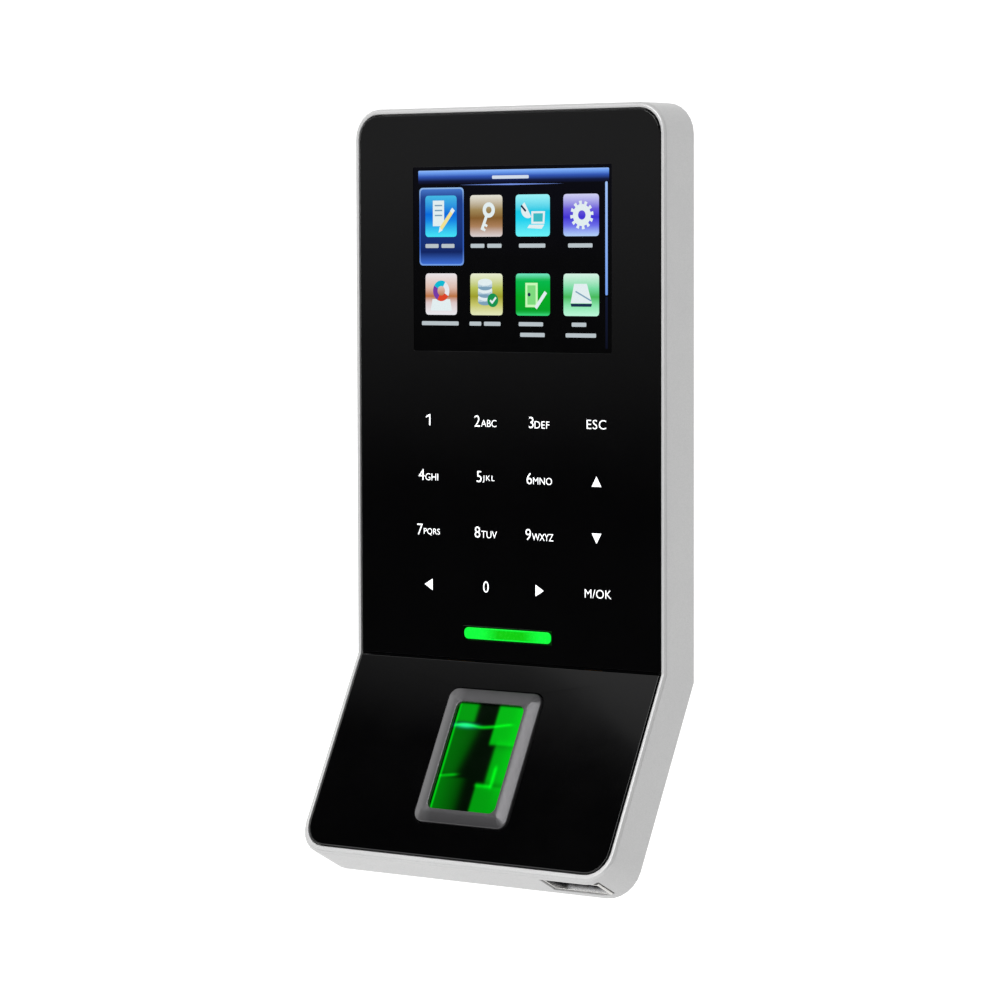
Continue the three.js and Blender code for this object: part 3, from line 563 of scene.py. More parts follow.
# ---------------------------------------------------------------- screws and pins, repeated by nodes
class Repeater:
    """A geometry-nodes tree with named inputs, worked into one mesh."""

    def __init__(self, name):
        self.tree = bpy.data.node_groups.new(name, "GeometryNodeTree")
        for way in ("INPUT", "OUTPUT"):
            self.tree.interface.new_socket("Geometry", in_out=way, socket_type="NodeSocketGeometry")
        self.values = {}
        self.begin = self.tree.nodes.new("NodeGroupInput")
        self.end = self.tree.nodes.new("NodeGroupOutput")

    def input(self, name, value):
        kind = "NodeSocketInt" if isinstance(value, int) else "NodeSocketFloat"
        socket = self.tree.interface.new_socket(name, in_out="INPUT", socket_type=kind)
        self.values[socket.identifier] = value
        return self.begin.outputs[name]

    def node(self, kind, sockets=None, **settings):
        made = self.tree.nodes.new(kind)
        for name, value in settings.items():
            setattr(made, name, value)
        for name, value in (sockets or {}).items():
            target = made.inputs[name]
            for source in value if isinstance(value, list) else [value]:
                if isinstance(source, bpy.types.NodeSocket):
                    self.tree.links.new(source, target)
                else:
                    target.default_value = source
        return made

    def math(self, operation, first, second):
        return self.node("ShaderNodeMath", {0: first, 1: second}, operation=operation).outputs[0]

    def times(self, first, second):
        return self.math("MULTIPLY", first, second)

    def vector(self, x=0.0, y=0.0, z=0.0):
        return self.node("ShaderNodeCombineXYZ", {"X": x, "Y": y, "Z": z}).outputs[0]

    def moved(self, shape, place):
        return self.node("GeometryNodeTransform", {"Geometry": shape, "Translation": place}).outputs[0]

    def block(self, x, y, z):
        return self.node("GeometryNodeMeshCube", {"Size": self.vector(x, y, z)}).outputs["Mesh"]

    def cone(self, low, high, depth, base, sides=32):
        """A frustum along Z that stands at the base height."""
        shape = self.node(
            "GeometryNodeMeshCone",
            {"Vertices": sides, "Radius Bottom": low, "Radius Top": high, "Depth": depth},
        ).outputs["Mesh"]
        return self.moved(shape, self.vector(z=base))

    def union(self, *shapes):
        sockets = {"Mesh 2": list(shapes)}
        return self.node("GeometryNodeMeshBoolean", sockets, operation="UNION").outputs["Mesh"]

    def less(self, shape, cutter):
        sockets = {"Mesh 1": shape, "Mesh 2": cutter}
        return self.node("GeometryNodeMeshBoolean", sockets, operation="DIFFERENCE").outputs["Mesh"]

    def together(self, *shapes):
        return self.node("GeometryNodeJoinGeometry", {"Geometry": list(shapes)}).outputs[0]

    def on_points(self, shape, material):
        """Sets the shape on every point, turned along the point's own axis."""
        axis = self.node("GeometryNodeInputNamedAttribute", {"Name": "axis"}, data_type="FLOAT_VECTOR")
        turned = self.node("FunctionNodeAlignRotationToVector", {"Vector": axis.outputs[0]}, axis="Z")
        placed = self.node(
            "GeometryNodeInstanceOnPoints",
            {"Points": self.begin.outputs["Geometry"], "Instance": shape, "Rotation": turned.outputs[0]},
        )
        real = self.node("GeometryNodeRealizeInstances", {"Geometry": placed.outputs[0]})
        coated = self.node("GeometryNodeSetMaterial", {"Geometry": real.outputs[0], "Material": material})
        self.tree.links.new(coated.outputs[0], self.end.inputs["Geometry"])

    def worked(self, name, points, axis, material):
        """The shape on each of the points, all along one axis, as one plain mesh."""
        mesh = bpy.data.meshes.new(name)
        mesh.from_pydata([tuple(p) for p in points], [], [])
        along = mesh.attributes.new("axis", "FLOAT_VECTOR", "POINT")
        along.data.foreach_set("vector", list(axis) * len(points))
        made = object_of(name, mesh, material)
        action = made.modifiers.new("repeat", "NODES")
        action.node_group = self.tree
        for identifier, value in self.values.items():
            action[identifier] = value
        settled(made)
        smooth_shading(made.data)
        return made


# Shares of a screw: the thread's core to its crest, the head's upright side to its height, the crown's
# top to its width, and the thread to the shank under the head. Joined pieces overlap by a hundredth or two.
CORE_SHARE = 0.80
SIDE_SHARE = 0.54
CROWN_SHARE = 0.74
THREAD_SHARE = 0.92
OVERLAP = 0.01
STEM_SIDES = 24


def screw_run(name, nodes, axis, sizes):
    """Screws with a cross-slotted pan head and a thread, one for each packed screw."""
    square = max(abs(part) for part in axis) > 0.999
    points = []
    for node in nodes:
        corners = [v.co for v in frame["nodes"][node].data.vertices]
        along = [corner.dot(axis) for corner in corners]
        low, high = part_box(node)
        # A slanted screw isn't in the middle of its box.
        centre = (low + high) / 2 if square else sum(corners, Vector()) / len(corners)
        points.append(centre + axis * (min(along) - centre.dot(axis)))
        length = max(along) - min(along)
    run = Repeater(name)
    total = run.input("Length", length)
    of = {title: run.input(title, value) for title, value in sizes.items()}
    head, tall, crest = of["Head radius"], of["Head height"], of["Shank radius"]
    seat = run.math("SUBTRACT", total, tall)
    core = run.times(crest, CORE_SHARE)
    stem = run.cone(core, core, run.times(seat, 1 + 2 * OVERLAP), 0.0, STEM_SIDES)
    side = run.cone(head, head, run.times(tall, SIDE_SHARE + OVERLAP), seat)
    above = run.math("ADD", seat, run.times(tall, SIDE_SHARE))
    crown = run.cone(head, run.times(head, CROWN_SHARE), run.times(tall, 1 - SIDE_SHARE), above)
    # The cutter of the cross slot reaches a little past the crown.
    deep = run.times(of["Slot depth"], 1.05)
    slit = run.block(of["Slot width"], of["Slot reach"], deep)
    across = run.block(of["Slot reach"], of["Slot width"], deep)
    slot_middle = run.math("SUBTRACT", total, run.times(of["Slot depth"], 0.5))
    raised = run.vector(z=run.math("ADD", slot_middle, 0.02 * MM))
    headed = run.less(run.union(stem, side, crown), run.moved(run.union(slit, across), raised))
    # Each ridge rises and falls within its pitch, and the first starts a little above the tip.
    pitch = run.math("DIVIDE", run.times(seat, THREAD_SHARE), of["Thread turns"])
    half = run.times(pitch, 0.48)
    rise = run.cone(core, crest, half, 0.0, STEM_SIDES)
    fall = run.cone(crest, core, half, half, STEM_SIDES)
    start = run.vector(z=run.times(seat, 0.03))
    line = run.node(
        "GeometryNodeMeshLine",
        {"Count": of["Thread turns"], "Start Location": start, "Offset": run.vector(z=pitch)},
        mode="OFFSET",
    ).outputs["Mesh"]
    ridge = {"Points": line, "Instance": run.union(rise, fall)}
    ridges = run.node("GeometryNodeInstanceOnPoints", ridge).outputs[0]
    run.on_points(run.together(headed, ridges), MATERIAL["plated_steel"])
    return run.worked(name, points, axis, MATERIAL["plated_steel"])


def screw_sizes(shank, head, tall, slot_width, slot_reach, slot_depth, turns):
    """The named sizes of a screw, from millimetres."""
    lengths = {
        "Shank radius": shank,
        "Head radius": head,
        "Head height": tall,
        "Slot width": slot_width,
        "Slot reach": slot_reach,
        "Slot depth": slot_depth,
    }
    return {title: value * MM for title, value in lengths.items()} | {"Thread turns": turns}


BACKWARD = Vector((0, 1, 0))
DOWNWARD = Vector((0, 0, -1))
SLOPE_BACK = -LOWER_FACE.col[2].to_3d()
SIDES = ("left", "right")
LEVELS = ("upper", "lower")
cover_straight = [f"cover_screw_{level}_{side}" for level in LEVELS for side in SIDES]
cover_foot = [f"cover_screw_foot_{side}" for side in SIDES]
board_screws = [f"board_screw_{level}_{side}" for level in LEVELS for side in SIDES]
SMALL_SCREW = screw_sizes(0.9, 1.9, 1.2, 0.6, 2.4, 0.6, 9)
LARGE_SCREW = screw_sizes(1.5, 2.7, 1.5, 0.9, 3.2, 0.8, 11)
for name, nodes, axis, sizes in (
    ("cover_screws", cover_straight, BACKWARD, SMALL_SCREW),
    ("foot_screws", cover_foot, SLOPE_BACK, SMALL_SCREW),
    ("board_screws", board_screws, BACKWARD, SMALL_SCREW),
    ("security_screw_finished", ["security_screw"], DOWNWARD, LARGE_SCREW),
):
    stands_for(screw_run(name, nodes, axis, sizes), *nodes)


# Shares of a pin: how much of its length is square, the tip's end and half its diagonal to its width.
STEM_SHARE = 0.86
TIP_SHARE = 0.38
HALF_DIAGONAL = 0.707
PIN_WIDTH, PIN_LENGTH, PIN_PITCH = 0.62 * MM, 3.5 * MM, 2.0 * MM
PIN_ROOT = 0.9 * MM
PINS = {"network_header": 4, "data_header": 5, "power_header": 4}


def pin_run(name, points, axis, material, body, slot):
    """Square contact pins with a tapered tip, one on each point."""
    run = Repeater(name)
    across = run.input("Pin width", PIN_WIDTH)
    tall = run.input("Pin length", PIN_LENGTH)
    square = run.times(tall, STEM_SHARE)
    stem = run.moved(run.block(across, across, square), run.vector(z=run.times(tall, STEM_SHARE / 2)))
    wide = run.times(across, HALF_DIAGONAL)
    tip = run.cone(wide, run.times(across, TIP_SHARE), run.times(tall, 1 - STEM_SHARE), square, 4)
    quarter = {"Geometry": tip, "Rotation": (0.0, 0.0, math.radians(45))}
    tip = run.node("GeometryNodeTransform", quarter).outputs[0]
    run.on_points(run.together(stem, tip), material)
    return stands_for(run.worked(name, points, axis, material), body=body, slot=slot)


pin_places = []
for header, count in PINS.items():
    low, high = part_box(header)
    middle = (low + high) / 2
    for index in range(count):
        offset = (index - (count - 1) / 2) * PIN_PITCH
        pin_places.append(Vector((middle.x + offset, low.y + PIN_ROOT, middle.z)))
pin_run("header_pins", pin_places, BACKWARD, GOLD, "terminal", "tinned_steel")

CONTACT_PITCH = 2.4 * MM
CONTACT_HALF = 0.55 * MM
CONTACT_START, CONTACT_END = 0.6 * MM, 7.5 * MM
CONTACT_STAND = 0.05 * MM


def usb_contacts():
    """Four contacts on the back of the socket's tongue."""
    low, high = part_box("usb_tongue")
    on_slope = [LOWER_FACE.inverted() @ v.co for v in tongue.data.vertices]
    foot = min(p.y for p in on_slope)
    back = min(p.z for p in on_slope if p.y < foot + 0.4 * MM)
    contacts = []
    for index in range(4):
        x = (low.x + high.x) / 2 + (index - 1.5) * CONTACT_PITCH
        ends = (foot + CONTACT_START, foot + CONTACT_END)
        outline = rounded_outline(x - CONTACT_HALF, x + CONTACT_HALF, *ends, 0.2 * MM, 3)
        bar = plate("contact", outline, back - CONTACT_STAND, back + CONTACT_STAND, GOLD, LOWER_FACE)
        contacts.append(bar)
    return joined("usb_contacts", contacts, GOLD)


stands_for(usb_contacts(), body="terminal", slot="tinned_steel")

# ---------------------------------------------------------------- display
SCREEN_LEFT, SCREEN_RIGHT = -23.8 * MM, 26.3 * MM
SCREEN_LOW, SCREEN_HIGH = 63.0 * MM, 100.5 * MM
LAYER = 0.006 * MM

BLACK_GLASS = MATERIAL["black_glass"]
panel = copied("upper_panel", "upper_panel_finished")
opening = rounded_outline(SCREEN_LEFT, SCREEN_RIGHT, SCREEN_LOW, SCREEN_HIGH, 0.3 * MM, 4)
window = plate("window_tool", opening, -3 * MM, 1 * MM, BLACK_GLASS, UPPER_FACE)
stands_for(rounded(cut(panel, window), 0.04 * MM), "upper_panel")

GASKET_REACH, GASKET_HALF = 37.6 * MM, 0.13 * MM
seam = rounded_outline(-GASKET_REACH, GASKET_REACH, -GASKET_HALF, GASKET_HALF, 0.05 * MM, 2)
gasket = plate("fold_gasket", seam, -1.2 * MM, -0.02 * MM, BLACK_GLASS, UPPER_FACE)
stands_for(gasket, body="terminal", slot="black_glass")


class Drawing:
    """Thin plates, each with its own light, laid on a plane in small steps."""

    def __init__(self, left, right, high, low):
        self.box = (left, right, high, low)
        self.plates = []

    def at(self, u, v):
        left, right, high, low = self.box
        return left + (right - left) * u, high + (low - high) * v

    def lay(self, faces, step, thick=None):
        """One plate made of flat faces side by side: each corner is a place and its colour."""
        self.plates.append((faces, step, thick or 1.4 * LAYER))

    def shape(self, points, colour, step):
        """A plate with one colour."""
        self.lay([[(point, colour) for point in points]], step)

    def tile(self, left, right, top, foot, radius, colour_at, step, rows=16, thick=None):
        """A round-cornered tile whose colour runs from top to foot."""
        width = self.box[1] - self.box[0]
        height = self.box[2] - self.box[3]
        side = radius * width / height

        def inset(t):
            near = min(t - top, foot - t)
            if near >= side:
                return 0.0
            return radius * (1 - math.sqrt(max(0.0, 1 - (1 - near / side) ** 2)))

        rim = [top + side * (1 - math.cos(math.radians(a))) for a in (0, 30, 60, 90)]
        rim_low = [foot - side * (1 - math.cos(math.radians(a))) for a in (90, 60, 30, 0)]
        inner = [rim[-1] + (rim_low[0] - rim[-1]) * k / rows for k in range(1, rows)]
        levels = rim + inner + rim_low
        faces = []
        for a, b in zip(levels, levels[1:]):
            if b - a < 1e-9:
                continue
            above = colour_at((a - top) / (foot - top))
            below = colour_at((b - top) / (foot - top))
            ia, ib = inset(a), inset(b)
            left_side = [((left + ia, a), above), ((left + ib, b), below)]
            faces.append(left_side + [((right - ib, b), below), ((right - ia, a), above)])
        self.lay(faces, step, thick)

    def ring(
        self, centre, outer, inner, colour, step, start=0, sweep=360, sides=32, squash=1.0, teeth=0, reach=0
    ):
        """A ring, a part of one, or a toothed one whose teeth reach out."""
        ratio = squash * (self.box[1] - self.box[0]) / (self.box[2] - self.box[3])
        count = teeth * 8 if teeth else sides
        faces = []

        def point(radius, k):
            turn = k % count if sweep in (360, -360) else k
            angle = math.radians(start + sweep * turn / count)
            return centre[0] + radius * math.cos(angle), centre[1] - radius * ratio * math.sin(angle)

        for k in range(count):
            radius = outer + (reach if teeth and (k // 4) % 2 == 0 else 0.0)
            corners = [point(inner, k), point(radius, k), point(radius, k + 1)]
            if inner > 0:
                corners.append(point(inner, k + 1))
            faces.append([(corner, colour) for corner in corners])
        self.lay(faces, step)

    def mesh(self, name, material, place):
        """The drawing as one mesh of closed plates, with its light kept as an attribute."""
        points, faces, light = [], [], []
        for parts, step, thick in self.plates:
            index = {}
            tops = []
            for part in parts:
                loop = []
                for (u, v), colour in part:
                    x, y = self.at(u, v)
                    spot = (round(x, 8), round(y, 8))
                    if spot not in index:
                        index[spot] = len(points)
                        points.append((x, y, step))
                        points.append((x, y, step - thick))
                        light += [colour, colour]
                    if index[spot] not in loop:
                        loop.append(index[spot])
                turns = zip(loop, loop[1:] + loop[:1])
                area = sum(points[a][0] * points[b][1] - points[b][0] * points[a][1] for a, b in turns)
                if len(loop) > 2:
                    tops.append(loop if area > 0 else loop[::-1])
            sides = {(a, b) for loop in tops for a, b in zip(loop, loop[1:] + loop[:1])}
            for loop in tops:
                faces.append(loop)
                faces.append([corner + 1 for corner in reversed(loop)])
            for a, b in sorted(sides):
                if (b, a) not in sides:
                    faces.append([b, a, a + 1, b + 1])
        mesh = bpy.data.meshes.new(name)
        mesh.from_pydata(points, [], faces)
        glow = mesh.color_attributes.new("glow", "FLOAT_COLOR", "POINT")
        glow.data.foreach_set("color", [part for colour in light for part in colour])
        mesh.transform(place)
        return object_of(name, mesh, material)


def blend_of(*stops):
    """A colour that runs through several stops, each a place from 0 to 1 and its colour."""

    def colour_at(t):
        for (t0, *c0), (t1, *c1) in zip(stops, stops[1:]):
            if t <= t1:
                k = (t - t0) / (t1 - t0)
                return tuple(a + (b - a) * k for a, b in zip(linear(*c0), linear(*c1)))
        return linear(*stops[-1][1:])

    return colour_at


screen = Drawing(SCREEN_LEFT, SCREEN_RIGHT, SCREEN_HIGH, SCREEN_LOW)
night = blend_of((0, 4, 4, 10), (0.16, 3, 3, 12), (0.5, 1, 1, 2), (1, 0, 0, 0))
heading = blend_of(
    (0, 150, 190, 255), (0.18, 110, 160, 245), (0.45, 50, 88, 185), (0.75, 16, 26, 66), (1, 4, 5, 16)
)
title = blend_of((0, 215, 225, 240), (1, 215, 225, 240))
chosen_edge = blend_of((0, 150, 190, 240), (0.2, 60, 105, 190), (0.8, 50, 95, 190), (1, 120, 165, 240))
chosen = blend_of(
    (0, 70, 120, 205), (0.12, 28, 62, 140), (0.75, 20, 48, 118), (0.85, 14, 34, 96), (1, 60, 110, 215)
)
slider = blend_of((0, 165, 200, 255), (1, 120, 165, 245))
slider_way = blend_of((0, 14, 22, 48), (1, 8, 12, 30))
BAR_CORNER, TILE_CORNER = 0.004, 0.014
screen.tile(0.0, 1.0, 0.0, 1.0, BAR_CORNER, night, 0, thick=0.4 * MM)
screen.tile(0.026, 0.986, 0.020, 0.095, BAR_CORNER, heading, LAYER)
screen.shape([(0.24, 0.1), (0.5, 0.104), (0.76, 0.1), (0.5, 0.096)], linear(120, 150, 235), LAYER)
screen.tile(0.405, 0.59, 0.052, 0.070, BAR_CORNER, title, 2 * LAYER)
screen.tile(0.031, 0.260, 0.113, 0.535, TILE_CORNER + 0.002, chosen_edge, LAYER)
screen.tile(0.037, 0.254, 0.121, 0.527, TILE_CORNER, chosen, 2 * LAYER)
screen.tile(0.9675, 0.979, 0.092, 0.692, BAR_CORNER, slider, LAYER)
screen.tile(0.9675, 0.979, 0.700, 0.975, BAR_CORNER, slider_way, LAYER)

COLUMNS = ((0.062, 0.224), (0.293, 0.457), (0.524, 0.695), (0.762, 0.937))
ROWS = ((0.156, 0.380), (0.578, 0.803))
# The colours of each tile, from its top to its foot.
TILES = (
    ((0, 70, 190, 235), (0.45, 0, 110, 225), (0.62, 20, 140, 235), (1, 70, 235, 255)),
    (
        (0, 235, 232, 220), (0.35, 165, 140, 90), (0.55, 135, 95, 45),
        (0.75, 175, 130, 90), (1, 225, 215, 215),
    ),
    ((0, 160, 250, 255), (0.4, 20, 205, 235), (0.6, 30, 215, 245), (1, 110, 250, 255)),
    (
        (0, 215, 215, 250), (0.35, 110, 95, 225), (0.55, 65, 50, 215),
        (0.75, 110, 110, 240), (1, 185, 215, 255),
    ),
    (
        (0, 240, 235, 238), (0.35, 225, 190, 175), (0.55, 190, 115, 60),
        (0.7, 225, 205, 205), (1, 240, 240, 245),
    ),
    (
        (0, 240, 245, 215), (0.35, 190, 200, 90), (0.55, 160, 160, 40),
        (0.75, 205, 205, 110), (1, 235, 240, 195),
    ),
    (
        (0, 120, 240, 200), (0.15, 0, 190, 80), (0.55, 0, 175, 35),
        (0.9, 0, 165, 40), (1, 60, 230, 130),
    ),
    (
        (0, 220, 250, 235), (0.35, 120, 225, 165), (0.55, 70, 190, 90),
        (0.75, 140, 235, 175), (1, 195, 255, 225),
    ),
)
PAPER = linear(232, 244, 246)
INKED = linear(24, 46, 78)
SHADE_TONE = linear(128, 165, 190)
for index, stops in enumerate(TILES):
    left, right = COLUMNS[index % 4]
    top, foot = ROWS[index // 4]
    screen.tile(left, right, top, foot, TILE_CORNER, blend_of(*stops), 3 * LAYER)


def icon_place(index):
    """Turns a point of a tile, 0 to 1 both ways, into one of the screen."""
    left, right = COLUMNS[index % 4]
    top, foot = ROWS[index // 4]
    return lambda u, v: (left + (right - left) * u, top + (foot - top) * v)


def draw(index, points, colour, level):
    place = icon_place(index)
    screen.shape([place(u, v) for u, v in points], colour, (3 + level) * LAYER)


def slab(index, left, right, top, foot, colour, level):
    draw(index, [(left, top), (right, top), (right, foot), (left, foot)], colour, level)


def stroke(index, start, end, width, colour, level):
    """A straight bar between two points of a tile."""
    du, dv = end[0] - start[0], end[1] - start[1]
    size = math.hypot(du, dv)
    nu, nv = -dv / size * width / 2, du / size * width / 2
    corners = [
        (start[0] + nu, start[1] + nv),
        (end[0] + nu, end[1] + nv),
        (end[0] - nu, end[1] - nv),
        (start[0] - nu, start[1] - nv),
    ]
    draw(index, corners, colour, level)


def icon_ring(index, centre, outer, inner, colour, level, **more):
    place = icon_place(index)
    width = COLUMNS[index % 4][1] - COLUMNS[index % 4][0]
    more["reach"] = more.get("reach", 0.0) * width
    screen.ring(place(*centre), outer * width, inner * width, colour, (3 + level) * LAYER, **more)


def sheet_icon(index):
    """A sheet with lines and a pencil."""
    slab(index, 0.24, 0.60, 0.12, 0.74, PAPER, 1)
    for line in (0.24, 0.36, 0.48):
        stroke(index, (0.30, line), (0.54, line), 0.035, SHADE_TONE, 2)
    stroke(index, (0.88, 0.36), (0.50, 0.80), 0.10, linear(250, 232, 150), 3)
    draw(index, [(0.46, 0.75), (0.55, 0.84), (0.42, 0.90)], PAPER, 3)
    stroke(index, (0.90, 0.33), (0.83, 0.41), 0.11, PAPER, 4)


def key_icon(index):
    icon_ring(index, (0.58, 0.36), 0.19, 0.085, PAPER, 1)
    stroke(index, (0.52, 0.48), (0.36, 0.84), 0.085, PAPER, 1)
    stroke(index, (0.42, 0.69), (0.53, 0.75), 0.06, PAPER, 1)
    stroke(index, (0.38, 0.80), (0.47, 0.85), 0.06, PAPER, 1)


def link_icon(index):
    """A small screen on a stand, joined to a dish."""
    draw(index, [(0.46, 0.40), (0.86, 0.40), (0.84, 0.70), (0.46, 0.70)], PAPER, 1)
    draw(index, [(0.52, 0.45), (0.80, 0.45), (0.79, 0.65), (0.52, 0.65)], linear(60, 190, 200), 2)
    draw(index, [(0.40, 0.72), (0.84, 0.72), (0.76, 0.82), (0.34, 0.80)], PAPER, 1)
    icon_ring(index, (0.36, 0.36), 0.20, 0.0, PAPER, 1, start=120, sweep=180)
    stroke(index, (0.30, 0.40), (0.16, 0.26), 0.05, INKED, 2)


def gear_icon(index):
    icon_ring(index, (0.52, 0.50), 0.25, 0.105, PAPER, 1, teeth=12, reach=0.075)


def colour_icon(index):
    """A colour ring over a plain stand."""
    draw(index, [(0.22, 0.62), (0.78, 0.62), (0.84, 0.90), (0.16, 0.90)], PAPER, 1)
    colours = ((10, 190, 215), (235, 238, 245), (225, 70, 40), (120, 60, 170))
    for step, colour in enumerate(colours):
        start = 150 - 90 * step
        icon_ring(index, (0.50, 0.42), 0.26, 0.12, linear(*colour), 2, start=start, sweep=-90, sides=8)


def store_icon(index):
    """Three stacked discs and a tick."""
    for level, height in enumerate((0.68, 0.50, 0.32)):
        icon_ring(index, (0.46, height), 0.22, 0.0, SHADE_TONE, 1 + 2 * level, sides=24, squash=0.4)
        slab(index, 0.24, 0.68, height - 0.11, height, linear(205, 225, 235), 1 + 2 * level)
        icon_ring(index, (0.46, height - 0.11), 0.22, 0.0, PAPER, 2 + 2 * level, sides=24, squash=0.4)
    icon_ring(index, (0.70, 0.64), 0.17, 0.0, linear(20, 150, 80), 7, sides=24)
    stroke(index, (0.62, 0.64), (0.69, 0.71), 0.05, PAPER, 8)
    stroke(index, (0.67, 0.71), (0.80, 0.57), 0.05, PAPER, 8)


def door_icon(index):
    """A door leaf with its handle and an open bar."""
    slab(index, 0.28, 0.64, 0.22, 0.80, linear(205, 255, 190), 1)
    slab(index, 0.34, 0.58, 0.28, 0.74, linear(130, 225, 130), 2)
    icon_ring(index, (0.39, 0.50), 0.045, 0.0, INKED, 3, sides=12)
    stroke(index, (0.88, 0.44), (0.58, 0.82), 0.09, PAPER, 4)


def drive_icon(index):
    """A memory box with a slanted lid."""
    draw(index, [(0.30, 0.24), (0.66, 0.24), (0.80, 0.70), (0.20, 0.70)], PAPER, 1)
    stroke(index, (0.34, 0.42), (0.78, 0.64), 0.035, SHADE_TONE, 2)
    draw(index, [(0.20, 0.71), (0.80, 0.71), (0.78, 0.78), (0.22, 0.78)], INKED, 1)


ICONS = (sheet_icon, key_icon, link_icon, gear_icon, colour_icon, store_icon, door_icon, drive_icon)
for index, icon in enumerate(ICONS):
    icon(index)

CAPTION = blend_of((0, 190, 200, 205), (1, 190, 200, 205))
CAPTION_HEIGHT = 0.022
UPPER_BARS = ((0.062, 0.130), (0.145, 0.212), (0.295, 0.365), (0.380, 0.452), (0.540, 0.672), (0.785, 0.905))
LOWER_BARS = ((0.042, 0.232), (0.288, 0.348), (0.362, 0.446), (0.538, 0.660), (0.802, 0.874))
SECOND_BARS = ((0.545, 0.668), (0.772, 0.922))
for height, bars in ((0.418, UPPER_BARS), (0.838, LOWER_BARS), (0.895, SECOND_BARS)):
    for left, right in bars:
        screen.tile(left, right, height, height + CAPTION_HEIGHT, BAR_CORNER, CAPTION, 3 * LAYER, rows=2)

DISPLAY_OUT = UPPER_FACE @ Matrix.Translation((0, 0, -0.10 * MM))
picture = screen.mesh("display_picture", MATERIAL["display_glass"], DISPLAY_OUT)
stands_for(picture, body="terminal", slot="display_glass")

# ---------------------------------------------------------------- keypad legends
KEY_COLUMNS = (-20.1, -5.3, 8.3, 22.5)
KEY_ROWS = (48.8, 37.5, 26.2, 15.1)
DIGIT_HEIGHT = 2.3 * MM
LETTER_HEIGHT = 1.45 * MM
INK_THICKNESS = 0.012 * MM
ARROW_HALF, ARROW_FOOT, ARROW_TIP = 1.18 * MM, -1.0 * MM, 1.05 * MM


def lettering(text, height, spread):
    """Flat characters as a mesh, with their foot on the line and their left at zero."""
    curve = bpy.data.curves.new("characters", "FONT")
    curve.body = text
    curve.size = 1
    curve.resolution_u = 4
    curve.offset = -0.004
    curve.space_character = 1.0 + (spread - 1.0) * 0.6
    holder = linked(bpy.data.objects.new("characters", curve))
    view = bpy.context.evaluated_depsgraph_get()
    mesh = bpy.data.meshes.new_from_object(holder.evaluated_get(view))
    bpy.data.objects.remove(holder)
    made = bmesh.new()
    made.from_mesh(mesh)
    bmesh.ops.remove_doubles(made, verts=made.verts, dist=1e-5)
    low = min(v.co.y for v in made.verts)
    high = max(v.co.y for v in made.verts)
    left = min(v.co.x for v in made.verts)
    scale = height / (high - low)
    across = scale * (1.0 + (spread - 1.0) * 0.7)
    for vert in made.verts:
        vert.co = Vector(((vert.co.x - left) * across, (vert.co.y - low) * scale, 0))
    return made


def figure_one(height):
    """The figure 1 with a slanted flag."""
    made = bmesh.new()
    stem, reach = 0.13 * height, 0.36 * height
    points = (
        (reach, 0),
        (reach + stem, 0),
        (reach + stem, height),
        (reach + 0.25 * stem, height),
        (0, 0.80 * height),
        (0, 0.67 * height),
        (reach, 0.82 * height),
    )
    made.faces.new([made.verts.new((x, y, 0)) for x, y in points])
    return made


def thickened(made, place):
    """Gives flat shapes the thickness of printed ink and lays them on a face."""
    for face in made.faces:
        face.normal_update()
        if face.normal.z < 0:
            face.normal_flip()
    flat = list(made.faces)
    lifted(made, flat, INK_THICKNESS)
    for face in flat:
        if face.is_valid:
            face.normal_flip()
    bmesh.ops.recalc_face_normals(made, faces=made.faces)
    made.transform(place)
    return object_of("ink", mesh_from("ink", made), WHITE_INK)


def width_of(made):
    return max(v.co.x for v in made.verts)


def key_text(parts, x, z):
    """Characters side by side on a key: each text has its height, the gap before it and its spread."""
    made = []
    for text, height, gap, spread in parts:
        letters = figure_one(height) if text == "1" else lettering(text, height, spread)
        made.append((letters, gap, width_of(letters)))
    start = x - sum(width + gap for letters, gap, width in made) / 2
    placed = []
    for letters, gap, width in made:
        start += gap
        spot = UPPER_FACE @ Matrix.Translation((start, z - DIGIT_HEIGHT / 2, 0))
        placed.append(thickened(letters, spot))
        start += width
    return placed


def arrow(x, z, turn):
    """A solid triangle that points up before it is turned."""
    made = bmesh.new()
    corners = ((-ARROW_HALF, ARROW_FOOT, 0), (ARROW_HALF, ARROW_FOOT, 0), (0, ARROW_TIP, 0))
    made.faces.new([made.verts.new(corner) for corner in corners])
    return thickened(made, UPPER_FACE @ Matrix.Translation((x, z, 0)) @ Matrix.Rotation(turn, 4, "Z"))


KEYS = (
    ("1", "2ABC", "3DEF", "ESC"),
    ("4GHI", "5JKL", "6MNO", "up"),
    ("7PQRS", "8TUV", "9WXYZ", "down"),
    ("left", "0", "right", "M/OK"),
)
TURNS = {"up": 0, "down": math.pi, "left": math.pi / 2, "right": -math.pi / 2}
